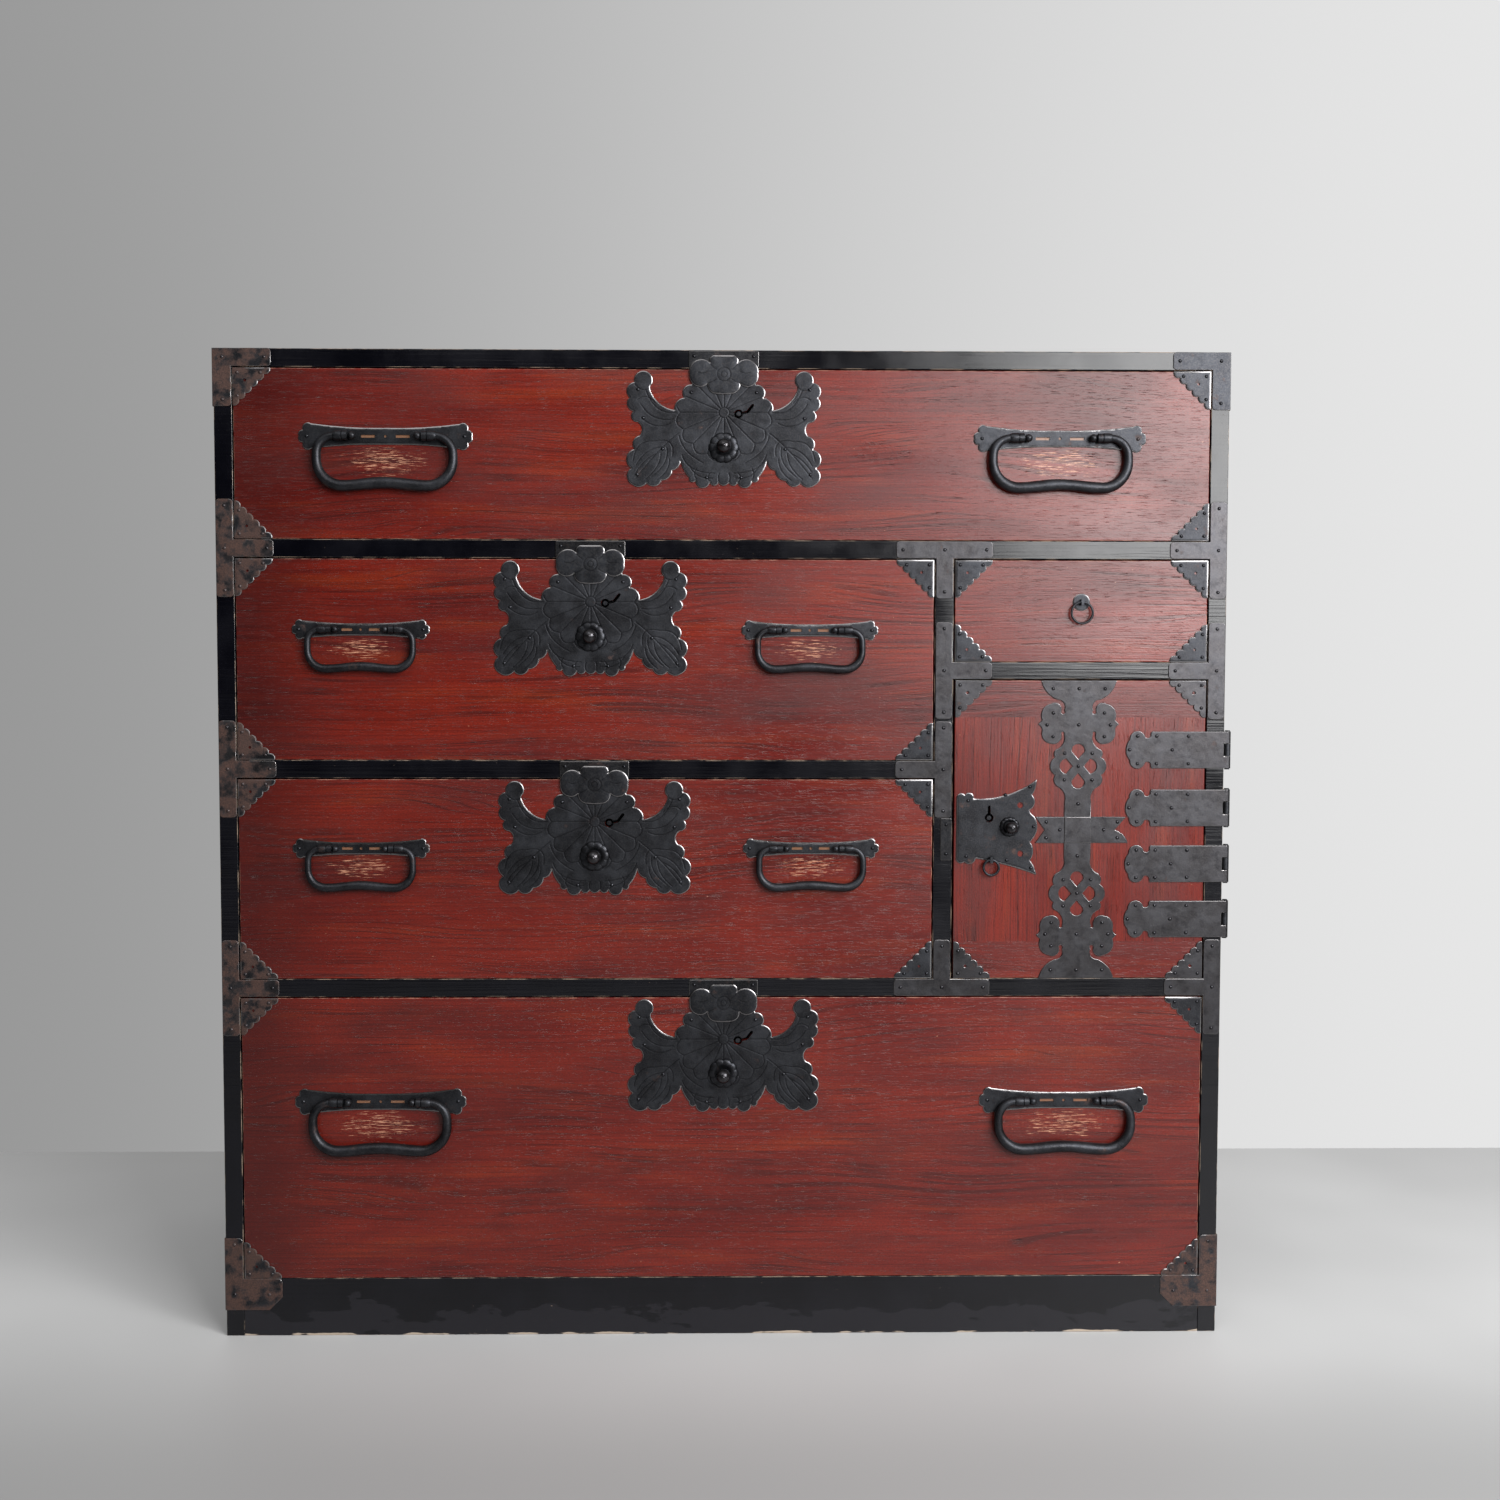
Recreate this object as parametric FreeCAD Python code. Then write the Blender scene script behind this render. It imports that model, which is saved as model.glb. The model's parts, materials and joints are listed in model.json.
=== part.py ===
import FreeCAD, Part
import os
from collections import namedtuple
from math import cos, pi, sin, sqrt

# A Japanese clothing chest: a lacquered wooden case with four wide drawers, a small drawer and a door,
# all with forged iron fittings. Millimetres, +X to the right, +Y from the front to the back, +Z up.
# The origin is on the floor, below the middle of the case's front face.

os.makedirs("parts", exist_ok=True)

# Case
case_width = 1060.0
case_height = 1044.0
case_depth = 440.0
board = 19.0
small_rail = 18.0
divider_thickness = 20.0
base_height = 62.0
base_rail_thickness = 22.0
bottom_board = 18.0
back_thickness = 8.0
back_plank_count = 4
plank_gap = 0.3

# Heights of the openings; the bottom drawer takes what is left
top_row = 178.0
second_row = 212.0
third_row = 213.0
small_row = 108.0

# Fronts, drawer boxes and their clearances
front_thickness = 20.0
front_gap = 1.2
running_gap = 0.4
door_free_gap = 2.0
drawer_side = 9.0
drawer_side_drop = 3.0
drawer_back = 9.0
drawer_bottom = 7.0
drawer_rear_gap = 12.0
door_end_height = 39.0

# Iron plates and nails
plate = 1.4
case_plate = 1.0
nail_sphere = 2.2
nail_cut_angle = 30.0
plate_margin = 0.5
plate_corner = 4.0
plate_hole = 1.5

# Case corner plates and T plates
corner_arm = 60.0
corner_wrap = 42.0
foot_plate_low = 28.0
foot_plate_high = 106.0
foot_plate_cut = 14.0
tee_arm = 51.0
plate_nail_inset = 7.0

# Scalloped corner plates on drawers and door
scallop_plate = 39.0
scallop_count = 6
scallop_bulge_share = 0.3
scallop_nail = 5.0
scallop_rivet = 13.0

# Lock plates
lock_reach = 100.0
lock_drop = 47.0
second_lock_offset = 5.0
third_lock_offset = 8.5
blossom_half_width = 36.0
blossom_rise = 40.6
blossom_thickness = 2.2
blossom_button = 6.0
blossom_button_rise = 0.8
strike_half_width = 36.5
strike_height = 17.0
strike_nail = 31.0
strike_nail_rise = 3.0
rosette_radius = 16.5
rosette_petals = 12
rosette_petal_share = 0.9
rosette_edge = 1.2
rosette_crown = 2.4
rosette_crown_radius = 12.0
rosette_hole = 5.4
rosette_hole_rim = 2.0

# Knob, the wedge on its shaft, and the bolt that it lifts
knob_drop = 35.0
knob_ball = 7.7
knob_standoff = 14.5
knob_tip = 2.4
knob_tip_rise = 0.8
knob_shaft = 3.4
knob_travel = 4.0
bolt_lift_ratio = 1.5
wedge_half_width = 3.0
wedge_rise = 3.0
wedge_nose = 2.0
bolt_half_width = 6.5
bolt_thickness = 3.0
bolt_tail = 4.0
bolt_inset = 0.6
mortise_play = 2.0

# Lock recess in the front, its cover and its spring
lock_wall = 6.0
lock_play = 0.4
cover_thickness = 1.2
cover_inset = 0.3
recess_half_width = 34.0
recess_above_rays = 14.0
spring_half_width = 2.5
spring_thickness = 0.8
spring_low = 14.0
spring_high = 28.0
spring_gap = 0.3

# Keyholes
key_hole = 4.6
key_pin = 2.3
key_offset = 15.4
key_slot_width = 3.0
key_bend_run_share = 0.62
key_bend_rise_share = 0.22
key_slot_run = 14.6
key_slot_rise = 8.8

# Bails: large ones on the top and bottom drawers, small ones on the two between
large_bail_width = 150.0
large_bail_drop = 52.0
large_bail_side = 4.2
large_bail_grip = 6.0
large_bail_pin = 3.0
large_bail_post = 41.0
large_bail_bend = 20.0
large_bail_plate = 90.0
large_bail_plate_height = 26.0
small_bail_width = 116.0
small_bail_drop = 41.5
small_bail_side = 3.2
small_bail_grip = 4.6
small_bail_pin = 2.3
small_bail_post = 32.5
small_bail_bend = 14.0
small_bail_plate = 71.5
small_bail_plate_height = 19.0
bail_grip_spans = 6
bail_collar_rise = 0.5
bail_knob_rise = 1.3
bail_clearance = 0.3
bail_play = 0.4
eye_fit = 0.1
eye_wall = 1.8
eye_width = 5.0
eye_neck = 2.2
shank_fit = 0.05
shank_past = 2.2
washer_radius = 6.5
washer_thickness = 1.2
plate_slot_share = 0.083
plate_slot_height = 3.0

# Places of the bails: depth below the opening's top, and share of the way from the lock plate's end to the
# opening's side
top_bail_drop = 71.5
second_bail_drop = 75.0
third_bail_drop = 74.0
bottom_bail_drop = 112.0
top_bail_share = 0.613
second_bail_share = 0.507
third_bail_share = 0.514
bottom_bail_share = 0.641

# Ring pulls
small_ring_outer = 12.4
small_ring_wire = 1.25
small_ring_drop = 45.0
door_ring_outer = 9.5
door_ring_wire = 1.4
ring_standoff = 5.2
ring_post = 3.2
ring_post_half_width = 1.5
ring_post_end = 1.6
ring_play = 0.3
ring_disc = 9.0

# The door's tall strap and its cross strap, whose notched ends take the lock plate's edge and a hinge's tip
strap_half_width = 43.0
cross_half_height = 13.9
cross_past_left = 2.0
cross_past_right = 10.7
cross_notch = 10.0
cross_end_notch = 14.0
cross_tip_back = 2.0
cross_nail_inset = 11.5
cross_nail_rise_share = 0.6
cross_middle_nail = 26.0
cross_over_lock = 2.5
cross_over_hinge = 3.2
crossing_rise = 1.0
opening_half_width = 6.7
opening_half_height = 8.0
opening_side = 12.8
opening_rise = 15.5

# Hinges: places measured down from the door opening's top
hinge_height = 39.0
hinge_reach = 104.5
first_hinge_drop = 74.5
second_hinge_drop = 136.0
third_hinge_drop = 195.5
fourth_hinge_drop = 254.5
hinge_plate = 1.6
knuckle_radius = 3.5
knuckle_standoff = 0.3
knuckle_gap = 0.4
knuckle_count = 3
hinge_pin = 1.7
hinge_fit = 0.05
pin_head = 2.6
pin_head_height = 1.0
pin_head_gap = 0.2
leaf_length = 46.0
leaf_start = 6.0
leaf_nail_inset = 9.0

# Door lock
door_lock_half_height = 51.0
door_lock_width = 86.0
door_lock_inset = 2.5
door_lock_hole = 3.2
door_knob_inset = 58.6
door_knob_rise = 3.4
door_knob_ball = 6.4
door_rosette_radius = 11.0
door_rosette_crown_radius = 9.0
door_recess_half_width = 24.0
door_recess_above = 34.0
door_key_shift = 21.6
door_key_rise = 9.4
door_key_slot = 11.6
door_ring_shift = 19.6
door_ring_drop = 35.0
door_strike_height = 45.0
door_strike_width = 12.0

overrun = 1.0

# Levels and faces worked out from the driving dimensions
half_width = case_width / 2
inner = half_width - board
top_inner = case_height - board
shelf_upper_top = top_inner - top_row
shelf_upper_low = shelf_upper_top - board
shelf_middle_top = shelf_upper_low - second_row
shelf_middle_low = shelf_middle_top - board
shelf_lower_top = shelf_middle_low - third_row
shelf_lower_low = shelf_lower_top - board
small_rail_top = shelf_upper_low - small_row
small_rail_low = small_rail_top - small_rail
back_front = case_depth - back_thickness
drawer_end = back_front - drawer_rear_gap
bolt_lift = knob_travel * bolt_lift_ratio
wedge_foot = lock_wall + lock_play
bolt_front = wedge_foot + knob_travel
bolt_rear = bolt_front + bolt_thickness
cover_front = front_thickness - cover_inset - cover_thickness
bolt_low = wedge_rise + lock_play + bolt_lift + bolt_tail
recess_low = bolt_low + lock_play

# The ironwork side by side on the door sets how far the divider stands from the right side board
cross_left = strap_half_width + cross_past_left
cross_right = strap_half_width + cross_past_right
strap_place = door_free_gap + door_lock_inset + door_lock_width - cross_over_lock + cross_left
divider_right = half_width - hinge_reach + cross_over_hinge - cross_right - strap_place
divider_left = divider_right - divider_thickness
divider_centre = divider_right - divider_thickness / 2

pivot_x = half_width + knuckle_radius + knuckle_standoff
pivot_y = knuckle_radius - hinge_plate
knuckle_height = (hinge_height - (knuckle_count - 1) * knuckle_gap) / knuckle_count

outward = FreeCAD.Vector(0, -1, 0)
inward = FreeCAD.Vector(0, 1, 0)
sideways = FreeCAD.Vector(1, 0, 0)
upward = FreeCAD.Vector(0, 0, 1)
origin = FreeCAD.Vector(0, 0, 0)

# In each outline table, a row of two numbers is the end of a straight line, and a row of four is a point
# on an arc and then the arc's end.

# Right half of a lock plate, from the middle of its top to the middle of its foot, about the centre of
# its engraved rays, in shares of lock_reach
lock_shares = (
    (0.0, 0.33),
    (0.24, 0.33),
    (0.30, 0.335, 0.338, 0.30),
    (0.428, 0.237, 0.412, 0.165),
    (0.492, 0.122, 0.514, 0.037),
    (0.669, 0.106, 0.769, 0.252),
    (0.768, 0.285, 0.751, 0.305),
    (0.838, 0.441, 0.932, 0.325),
    (1.012, 0.237, 0.982, 0.165),
    (1.006, 0.088, 0.942, 0.025),
    (0.965, -0.029, 0.90, -0.086),
    (0.854, -0.171, 0.88, -0.229),
    (0.946, -0.286, 0.931, -0.368),
    (1.012, -0.44, 0.966, -0.563),
    (1.01, -0.65, 0.954, -0.735),
    (0.88, -0.758, 0.803, -0.717),
    (0.731, -0.752, 0.651, -0.691),
    (0.592, -0.675, 0.538, -0.586),
    (0.48, -0.555, 0.451, -0.491),
    (0.423, -0.571, 0.362, -0.66),
    (0.34, -0.705, 0.295, -0.695),
    (0.231, -0.766, 0.146, -0.712),
    (0.10, -0.743, 0.054, -0.712),
    (0.03, -0.735, 0.0, -0.742),
)
lock_nail_shares = (
    (0.34, 0.22),
    (0.895, 0.25),
    (0.84, -0.045),
    (0.64, -0.365),
    (0.905, -0.63),
    (0.18, -0.66),
)

# Right half of the blossom about its own centre, in shares of blossom_half_width
blossom_shares = (
    (0.0, 0.54),
    (0.28, 0.54),
    (0.39, 0.47, 0.405, 0.33),
    (0.78, 0.40, 0.99, 0.0),
    (0.85, -0.31, 0.47, -0.27),
    (0.42, -0.45, 0.22, -0.555),
    (0.11, -0.568, 0.0, -0.57),
)

# Right half of a bail plate: across in shares of its half length, up in shares of its end height
bail_plate_shares = (
    (0.0, 0.33),
    (0.45, 0.36, 0.86, 0.50),
    (0.93, 0.50, 0.95, 0.25),
    (1.0, 0.15, 1.0, 0.0),
    (1.0, -0.15, 0.95, -0.25),
    (0.93, -0.50, 0.86, -0.50),
    (0.45, -0.36, 0.0, -0.33),
)
bail_plate_slot_place_share = 0.2
bail_plate_nail_share = 0.91

# Upper right quarter of the door's tall strap, from the middle of its top edge to the strap's centre:
# across in shares of strap_half_width, up in shares of half the door's height
strap_shares = (
    (0.0, 1.0),
    (0.93, 1.0),
    (0.80, 0.925, 0.53, 0.872),
    (0.37, 0.85, 0.36, 0.80),
    (0.38, 0.777, 0.43, 0.79),
    (0.53, 0.85, 0.68, 0.845),
    (0.90, 0.80, 0.90, 0.735),
    (0.965, 0.717, 1.0, 0.706),
    (0.94, 0.695, 0.90, 0.668),
    (0.86, 0.605, 0.68, 0.578),
    (0.50, 0.585, 0.42, 0.645),
    (0.39, 0.658, 0.36, 0.643),
    (0.38, 0.58, 0.50, 0.545),
    (0.60, 0.52, 0.57, 0.487),
    (0.70, 0.43, 0.57, 0.368),
    (0.60, 0.33, 0.50, 0.29),
    (0.34, 0.245, 0.33, 0.19),
    (0.33, 0.0),
    (0.0, 0.0),
)
strap_lattice_share = 0.428

# One opening of the strap's lattice, from its point beside the lattice's middle: away from the middle in
# shares of its half length, across in shares of its half width
opening_shares = (
    (-1.0, 0.0),
    (0.0, 1.0),
    (1.0, 0.0, 0.0, -1.0),
    (-1.0, 0.0),
)
strap_nail_shares = (
    (0.0, 0.945),
    (0.64, 0.945),
    (0.63, 0.783),
    (0.78, 0.703),
    (0.63, 0.625),
    (0.0, 0.703),
    (0.34, 0.513),
    (0.34, 0.335),
    (0.0, 0.427),
    (0.0, 0.175),
)

# Upper half of a hinge strap, from its tip to the case's edge: across in shares of hinge_reach, up in
# shares of half its height
hinge_shares = (
    (0.0, 0.0),
    (0.012, 0.34, 0.038, 0.55),
    (0.11, 1.02, 0.196, 0.69),
    (0.236, 0.67, 0.252, 0.87),
    (0.262, 0.985, 0.288, 1.0),
    (1.0, 1.0),
    (1.0, 0.0),
)
hinge_nail_shares = (
    (0.035, 0.0),
    (0.116, 0.75),
    (0.116, -0.75),
    (0.31, 0.75),
    (0.31, -0.75),
    (0.47, 0.0),
    (0.635, 0.74),
    (0.635, -0.74),
)

# The door's lock plate, clockwise from its left edge's upper end: across in shares of its width, up from
# the knob's level in shares of its half height
door_lock_shares = (
    (0.0, 0.60),
    (0.02, 0.67, 0.10, 0.655),
    (0.17, 0.70, 0.21, 0.58),
    (0.65, 0.68, 0.985, 0.98),
    (0.97, 0.80, 0.93, 0.66),
    (0.965, 0.53, 0.90, 0.35),
    (0.93, 0.25, 0.955, 0.22),
    (1.0, 0.0, 0.955, -0.22),
    (0.93, -0.28, 0.91, -0.32),
    (0.95, -0.52, 0.91, -0.70),
    (0.96, -0.84, 0.99, -1.0),
    (0.62, -0.80, 0.24, -0.66),
    (0.20, -0.76, 0.10, -0.73),
    (0.03, -0.75, 0.0, -0.68),
    (0.0, 0.60),
)
door_lock_nail_shares = (
    (0.14, 0.54),
    (0.60, 0.66),
    (0.90, 0.83),
    (0.95, 0.0),
    (0.12, -0.62),
    (0.62, -0.70),
    (0.92, -0.86),
)
door_lock_hole_shares = (
    (0.785, 0.45),
    (0.79, -0.56),
)


def vec(x, y, z):
    return FreeCAD.Vector(x, y, z)


def box(x0, x1, y0, y1, z0, z1):
    """A board between two opposite corners."""
    return Part.makeBox(x1 - x0, y1 - y0, z1 - z0, vec(x0, y0, z0))


def rod(radius, start, direction, length):
    return Part.makeCylinder(radius, length, start, direction)


def joined(shapes):
    """One solid from pieces that touch or overlap."""
    return shapes[0].fuse(shapes[1:]).removeSplitter()


def outline(rows, place):
    """Lines and arcs through an outline table's rows; place turns two numbers into a point."""
    here = place(rows[0][0], rows[0][1])
    edges = []
    for row in rows[1:]:
        end = place(row[-2], row[-1])
        if len(row) == 2:
            edges.append(Part.LineSegment(here, end).toShape())
        else:
            edges.append(Part.Arc(here, place(row[0], row[1]), end).toShape())
        here = end
    return edges


def sheet(edges, thickness):
    """A flat plate that stands outward from its closed outline."""
    return Part.Face(Part.Wire(edges)).extrude(outward * thickness)


def half_sheet(rows, place, thickness, middle, normal):
    """A plate with two like halves, from the outline of one half that starts and ends on the mirror."""
    edges = outline(rows, place)
    edges.append(Part.LineSegment(place(rows[-1][-2], rows[-1][-1]), place(rows[0][0], rows[0][1])).toShape())
    half = sheet(edges, thickness)
    return joined([half, half.mirror(middle, normal)])


def rounded(x0, x1, z0, z1, radius, thickness):
    """A plate with rounded corners on the plane of the fronts."""
    bend = radius - radius / sqrt(2)
    rows = (
        (x0 + radius, z0),
        (x1 - radius, z0),
        (x1 - bend, z0 + bend, x1, z0 + radius),
        (x1, z1 - radius),
        (x1 - bend, z1 - bend, x1 - radius, z1),
        (x0 + radius, z1),
        (x0 + bend, z1 - bend, x0, z1 - radius),
        (x0, z0 + radius),
        (x0 + bend, z0 + bend, x0 + radius, z0),
    )
    return sheet(outline(rows, lambda x, z: vec(x, 0, z)), thickness)


def nail(seat, direction=outward):
    """The domed head of a hand-forged nail, seated on a plate."""
    sink = nail_sphere * sin(nail_cut_angle * pi / 180)
    return Part.makeSphere(nail_sphere, seat - direction * sink, direction, nail_cut_angle, 90, 360)


def write(node, solids):
    """One file for each sub-part, with its separate solids."""
    for solid in solids:
        if not solid.isValid() or solid.Volume <= 0 or len(solid.Solids) != 1:
            raise ValueError(node + " holds a solid that is not sound")
    shape = solids[0] if len(solids) == 1 else Part.makeCompound(solids)
    shape.exportStep("parts/" + node + ".step")


def corner_plate(x, z, right, up):
    """A triangle in a front's corner, its slanting edge in scallops, with three nails."""
    step = scallop_plate / scallop_count
    bulge = step * scallop_bulge_share
    rows = [(x, z), (x + right * scallop_plate, z)]
    for lobe in range(scallop_count):
        from_edge = scallop_plate - step * (lobe + 1)
        across = scallop_plate - step * (lobe + 1 / 2) + bulge
        along = step * (lobe + 1 / 2) + bulge
        end_up = step * (lobe + 1)
        rows.append((x + right * across, z + up * along, x + right * from_edge, z + up * end_up))
    rows.append((x, z))
    piece = sheet(outline(rows, lambda a, b: vec(a, 0, b)), plate)
    rivet = vec(x + right * scallop_rivet, -plate - overrun, z + up * scallop_rivet)
    piece = piece.cut(rod(plate_hole, rivet, inward, plate + 2 * overrun))
    tip = scallop_plate - 2 * scallop_nail
    nails = []
    for across, along in ((scallop_nail, scallop_nail), (tip, scallop_nail), (scallop_nail, tip)):
        nails.append(nail(vec(x + right * across, -plate, z + up * along)))
    return [piece] + nails


def corner_plates(x0, x1, z0, z1):
    solids = []
    for x, right in ((x0, 1), (x1, -1)):
        for z, up in ((z0, 1), (z1, -1)):
            solids.extend(corner_plate(x, z, right, up))
    return solids


def keyhole(x, z, run, rise):
    """Cut for a key: a round hole with a slot that leaves it, bends and ends at run and rise."""
    depth = lock_wall + plate + 2 * overrun
    half_slot = key_slot_width / 2
    start = vec(x, -plate - overrun, z)
    bend = start + vec(run * key_bend_run_share, 0, rise * key_bend_rise_share)
    cuts = []
    for begin, end in ((start, bend), (bend, start + vec(run, 0, rise))):
        slot = Part.makeBox((end - begin).Length, depth, key_slot_width, upward * -half_slot)
        slot.Placement = FreeCAD.Placement(begin, FreeCAD.Rotation(sideways, end - begin))
        cuts.extend([slot, rod(half_slot, end, inward, depth)])
    return rod(key_hole, start, inward, depth).fuse(cuts)


def rosette(radius, crown_radius):
    """A washer of petals with a low crown round the knob's hole, on a plate at the origin."""
    half_petal = pi / rosette_petals
    valley = radius * rosette_petal_share
    rows = [(valley, 0)]
    for petal in range(rosette_petals):
        top = (2 * petal + 1) * half_petal
        end = (2 * petal + 2) * half_petal
        rows.append((radius * cos(top), radius * sin(top), valley * cos(end), valley * sin(end)))
    petals = sheet(outline(rows, lambda a, b: vec(a, 0, b)), rosette_edge)
    rim = rosette_hole + rosette_hole_rim
    crown = Part.makeCone(crown_radius, rim, rosette_crown, origin, outward)
    hole = rod(rosette_hole, vec(0, overrun, 0), outward, rosette_crown + 2 * overrun)
    return petals.fuse(crown).cut(hole).removeSplitter()


def lock_works(reach, ball, half_recess, recess_top):
    """Pieces and cuts of a lock about its knob's axis, with the bolt moving up to an edge reach away."""
    shaft = rod(knob_shaft, vec(0, -knob_standoff, 0), inward, knob_standoff + wedge_foot)
    nose = bolt_front + wedge_nose
    rows = (
        (wedge_foot, -wedge_rise),
        (wedge_foot, wedge_rise + bolt_lift),
        (nose, wedge_rise - wedge_nose * bolt_lift_ratio),
        (nose, -wedge_rise),
        (wedge_foot, -wedge_rise),
    )
    side = outline(rows, lambda y, z: vec(-wedge_half_width, y, z))
    wedge = Part.Face(Part.Wire(side)).extrude(sideways * (2 * wedge_half_width))
    head = Part.makeSphere(ball, vec(0, -knob_standoff, 0))
    tip = Part.makeSphere(knob_tip, vec(0, knob_tip - knob_standoff - ball - knob_tip_rise, 0))
    knob = joined([head, tip, shaft, wedge])

    window_half = wedge_half_width + lock_play
    window_low = bolt_low - bolt_tail
    window_top = wedge_rise + lock_play
    bolt = box(-bolt_half_width, bolt_half_width, bolt_front, bolt_rear, -bolt_low, reach - bolt_inset)
    bolt = bolt.cut(
        box(-window_half, window_half, bolt_front - overrun, bolt_rear + overrun, -window_low, window_top)
    )

    past = front_thickness + overrun
    recess = box(-half_recess, half_recess, lock_wall, past, -recess_low, recess_top)
    slot_half = bolt_half_width + lock_play
    slot_front = bolt_front - lock_play
    slot_rear = bolt_rear + lock_play
    slot = box(-slot_half, slot_half, slot_front, slot_rear, recess_top - overrun, reach + overrun)
    hole = rod(knob_shaft + lock_play, vec(0, -plate - overrun, 0), inward, plate + lock_wall + 2 * overrun)
    cut = recess.fuse([slot, hole])
    mortise = box(-slot_half, slot_half, slot_front, slot_rear, reach, reach + bolt_lift + mortise_play)

    cover_half = half_recess - lock_play
    cover_rear = cover_front + cover_thickness
    cover = box(-cover_half, cover_half, cover_front, cover_rear, lock_play - recess_low, recess_top - lock_play)
    touch = bolt_rear + spring_gap
    rows = (
        (cover_front, spring_high),
        (touch, spring_low + spring_thickness),
        (touch, spring_low),
        (touch + spring_thickness, spring_low),
        (cover_front, spring_high - 2 * spring_thickness),
        (cover_front, spring_high),
    )
    side = outline(rows, lambda y, z: vec(-spring_half_width, y, z))
    spring = Part.Face(Part.Wire(side)).extrude(sideways * (2 * spring_half_width))
    return knob, bolt, cut, mortise, cover, spring


def eye_post(x, z, plane, pin):
    """An eye that carries a bail's end; its shank passes through the front and a washer."""
    outer = pin + eye_fit + eye_wall
    centre = vec(x - eye_width / 2, -plane, z)
    eye = rod(outer, centre, sideways, eye_width)
    shank = rod(eye_neck, vec(x, -plane, z), inward, plane + front_thickness + washer_thickness + shank_past)
    bore = rod(pin + eye_fit, centre - sideways * overrun, sideways, eye_width + 2 * overrun)
    post = eye.fuse(shank).cut(bore).removeSplitter()
    seat = vec(x, front_thickness, z)
    washer = rod(washer_radius, seat, inward, washer_thickness)
    washer = washer.cut(rod(eye_neck + shank_fit, seat, inward, washer_thickness))
    return [post, washer]


def bail(x, z, plane, sizes):
    """A forged bail that hangs from two eyes, thickest in the middle of its grip."""
    side = sizes.side
    drop = sizes.drop
    bend = sizes.bend
    reach = sizes.width / 2 - side
    curve = bend - bend / sqrt(2)
    knob = sizes.pin + bail_knob_rise
    collar = side + bail_collar_rise
    collar_x = sizes.post + eye_width / 2 + bail_play + collar
    knob_x = sizes.post - eye_width / 2 - bail_play - knob
    place = lambda a, b: vec(x + a, -plane, z + b)
    rows = (
        (collar_x, 0),
        (reach - bend, 0),
        (reach - curve, -curve, reach, -bend),
        (reach, bend - drop),
        (reach - curve, curve - drop, reach - bend, -drop),
    )
    path = Part.Wire(outline(rows, place))
    section = Part.Wire(Part.makeCircle(side, place(collar_x, 0), sideways))
    limb = path.makePipeShell([section], True, True)
    stub = rod(sizes.pin, place(knob_x, 0), sideways, collar_x - knob_x)
    right = [limb, stub, Part.makeSphere(collar, place(collar_x, 0)), Part.makeSphere(knob, place(knob_x, 0))]
    left = [piece.mirror(place(0, 0), sideways) for piece in right]
    end = reach - bend
    edge = lambda share: (share * end, side - drop + (sizes.grip - side) * (1 - share * share))
    rows = [(-end, -drop), edge(-1)]
    for span in range(bail_grip_spans):
        begin = 2 * span / bail_grip_spans - 1
        rows.append(edge(begin + 1 / bail_grip_spans) + edge(begin + 2 / bail_grip_spans))
    rows.extend([(end, -drop), (-end, -drop)])
    swell = Part.Face(Part.Wire(outline(rows, place))).revolve(place(0, -drop), sideways, 360)
    return joined([swell] + right + left)


def bail_plate(x, z, plane, sizes):
    """The pierced plate behind a bail, with its eye posts and nails, and the cuts for the shanks."""
    length = sizes.plate_length
    place = lambda a, b: vec(x + a * length, 0, z + b * sizes.plate_height)
    piece = half_sheet(bail_plate_shares, place, plate, vec(x, 0, z), sideways)
    cuts = []
    solids = []
    slot_half = length * plate_slot_share
    low = z - plate_slot_height / 2
    for turn in (-1, 1):
        slot_x = x + turn * length * bail_plate_slot_place_share
        cuts.append(box(slot_x - slot_half, slot_x + slot_half, -plate - overrun, overrun, low, z + z - low))
        hole_start = vec(x + turn * sizes.post, -plate - overrun, z)
        cuts.append(rod(eye_neck + shank_fit, hole_start, inward, plate + front_thickness + 2 * overrun))
        solids.extend(eye_post(x + turn * sizes.post, z, plane, sizes.pin))
        solids.append(nail(vec(x + turn * length * bail_plate_nail_share, -plate, z)))
    cuts.append(rod(plate_hole, vec(x, -plate - overrun, z), inward, plate + overrun))
    return [piece.cut(cuts)] + solids, [cuts[1], cuts[3]]


def drawer_box(x0, x1, z0, z1):
    """Two sides and a back that stand on a bottom board, behind the front."""
    floor_top = z0 + drawer_bottom
    top = z1 - drawer_side_drop
    return [
        box(x0, x1, front_thickness, drawer_end, z0, floor_top),
        box(x0, x0 + drawer_side, front_thickness, drawer_end, floor_top, top),
        box(x1 - drawer_side, x1, front_thickness, drawer_end, floor_top, top),
        box(x0 + drawer_side, x1 - drawer_side, drawer_end - drawer_back, drawer_end, floor_top, top),
    ]


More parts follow.
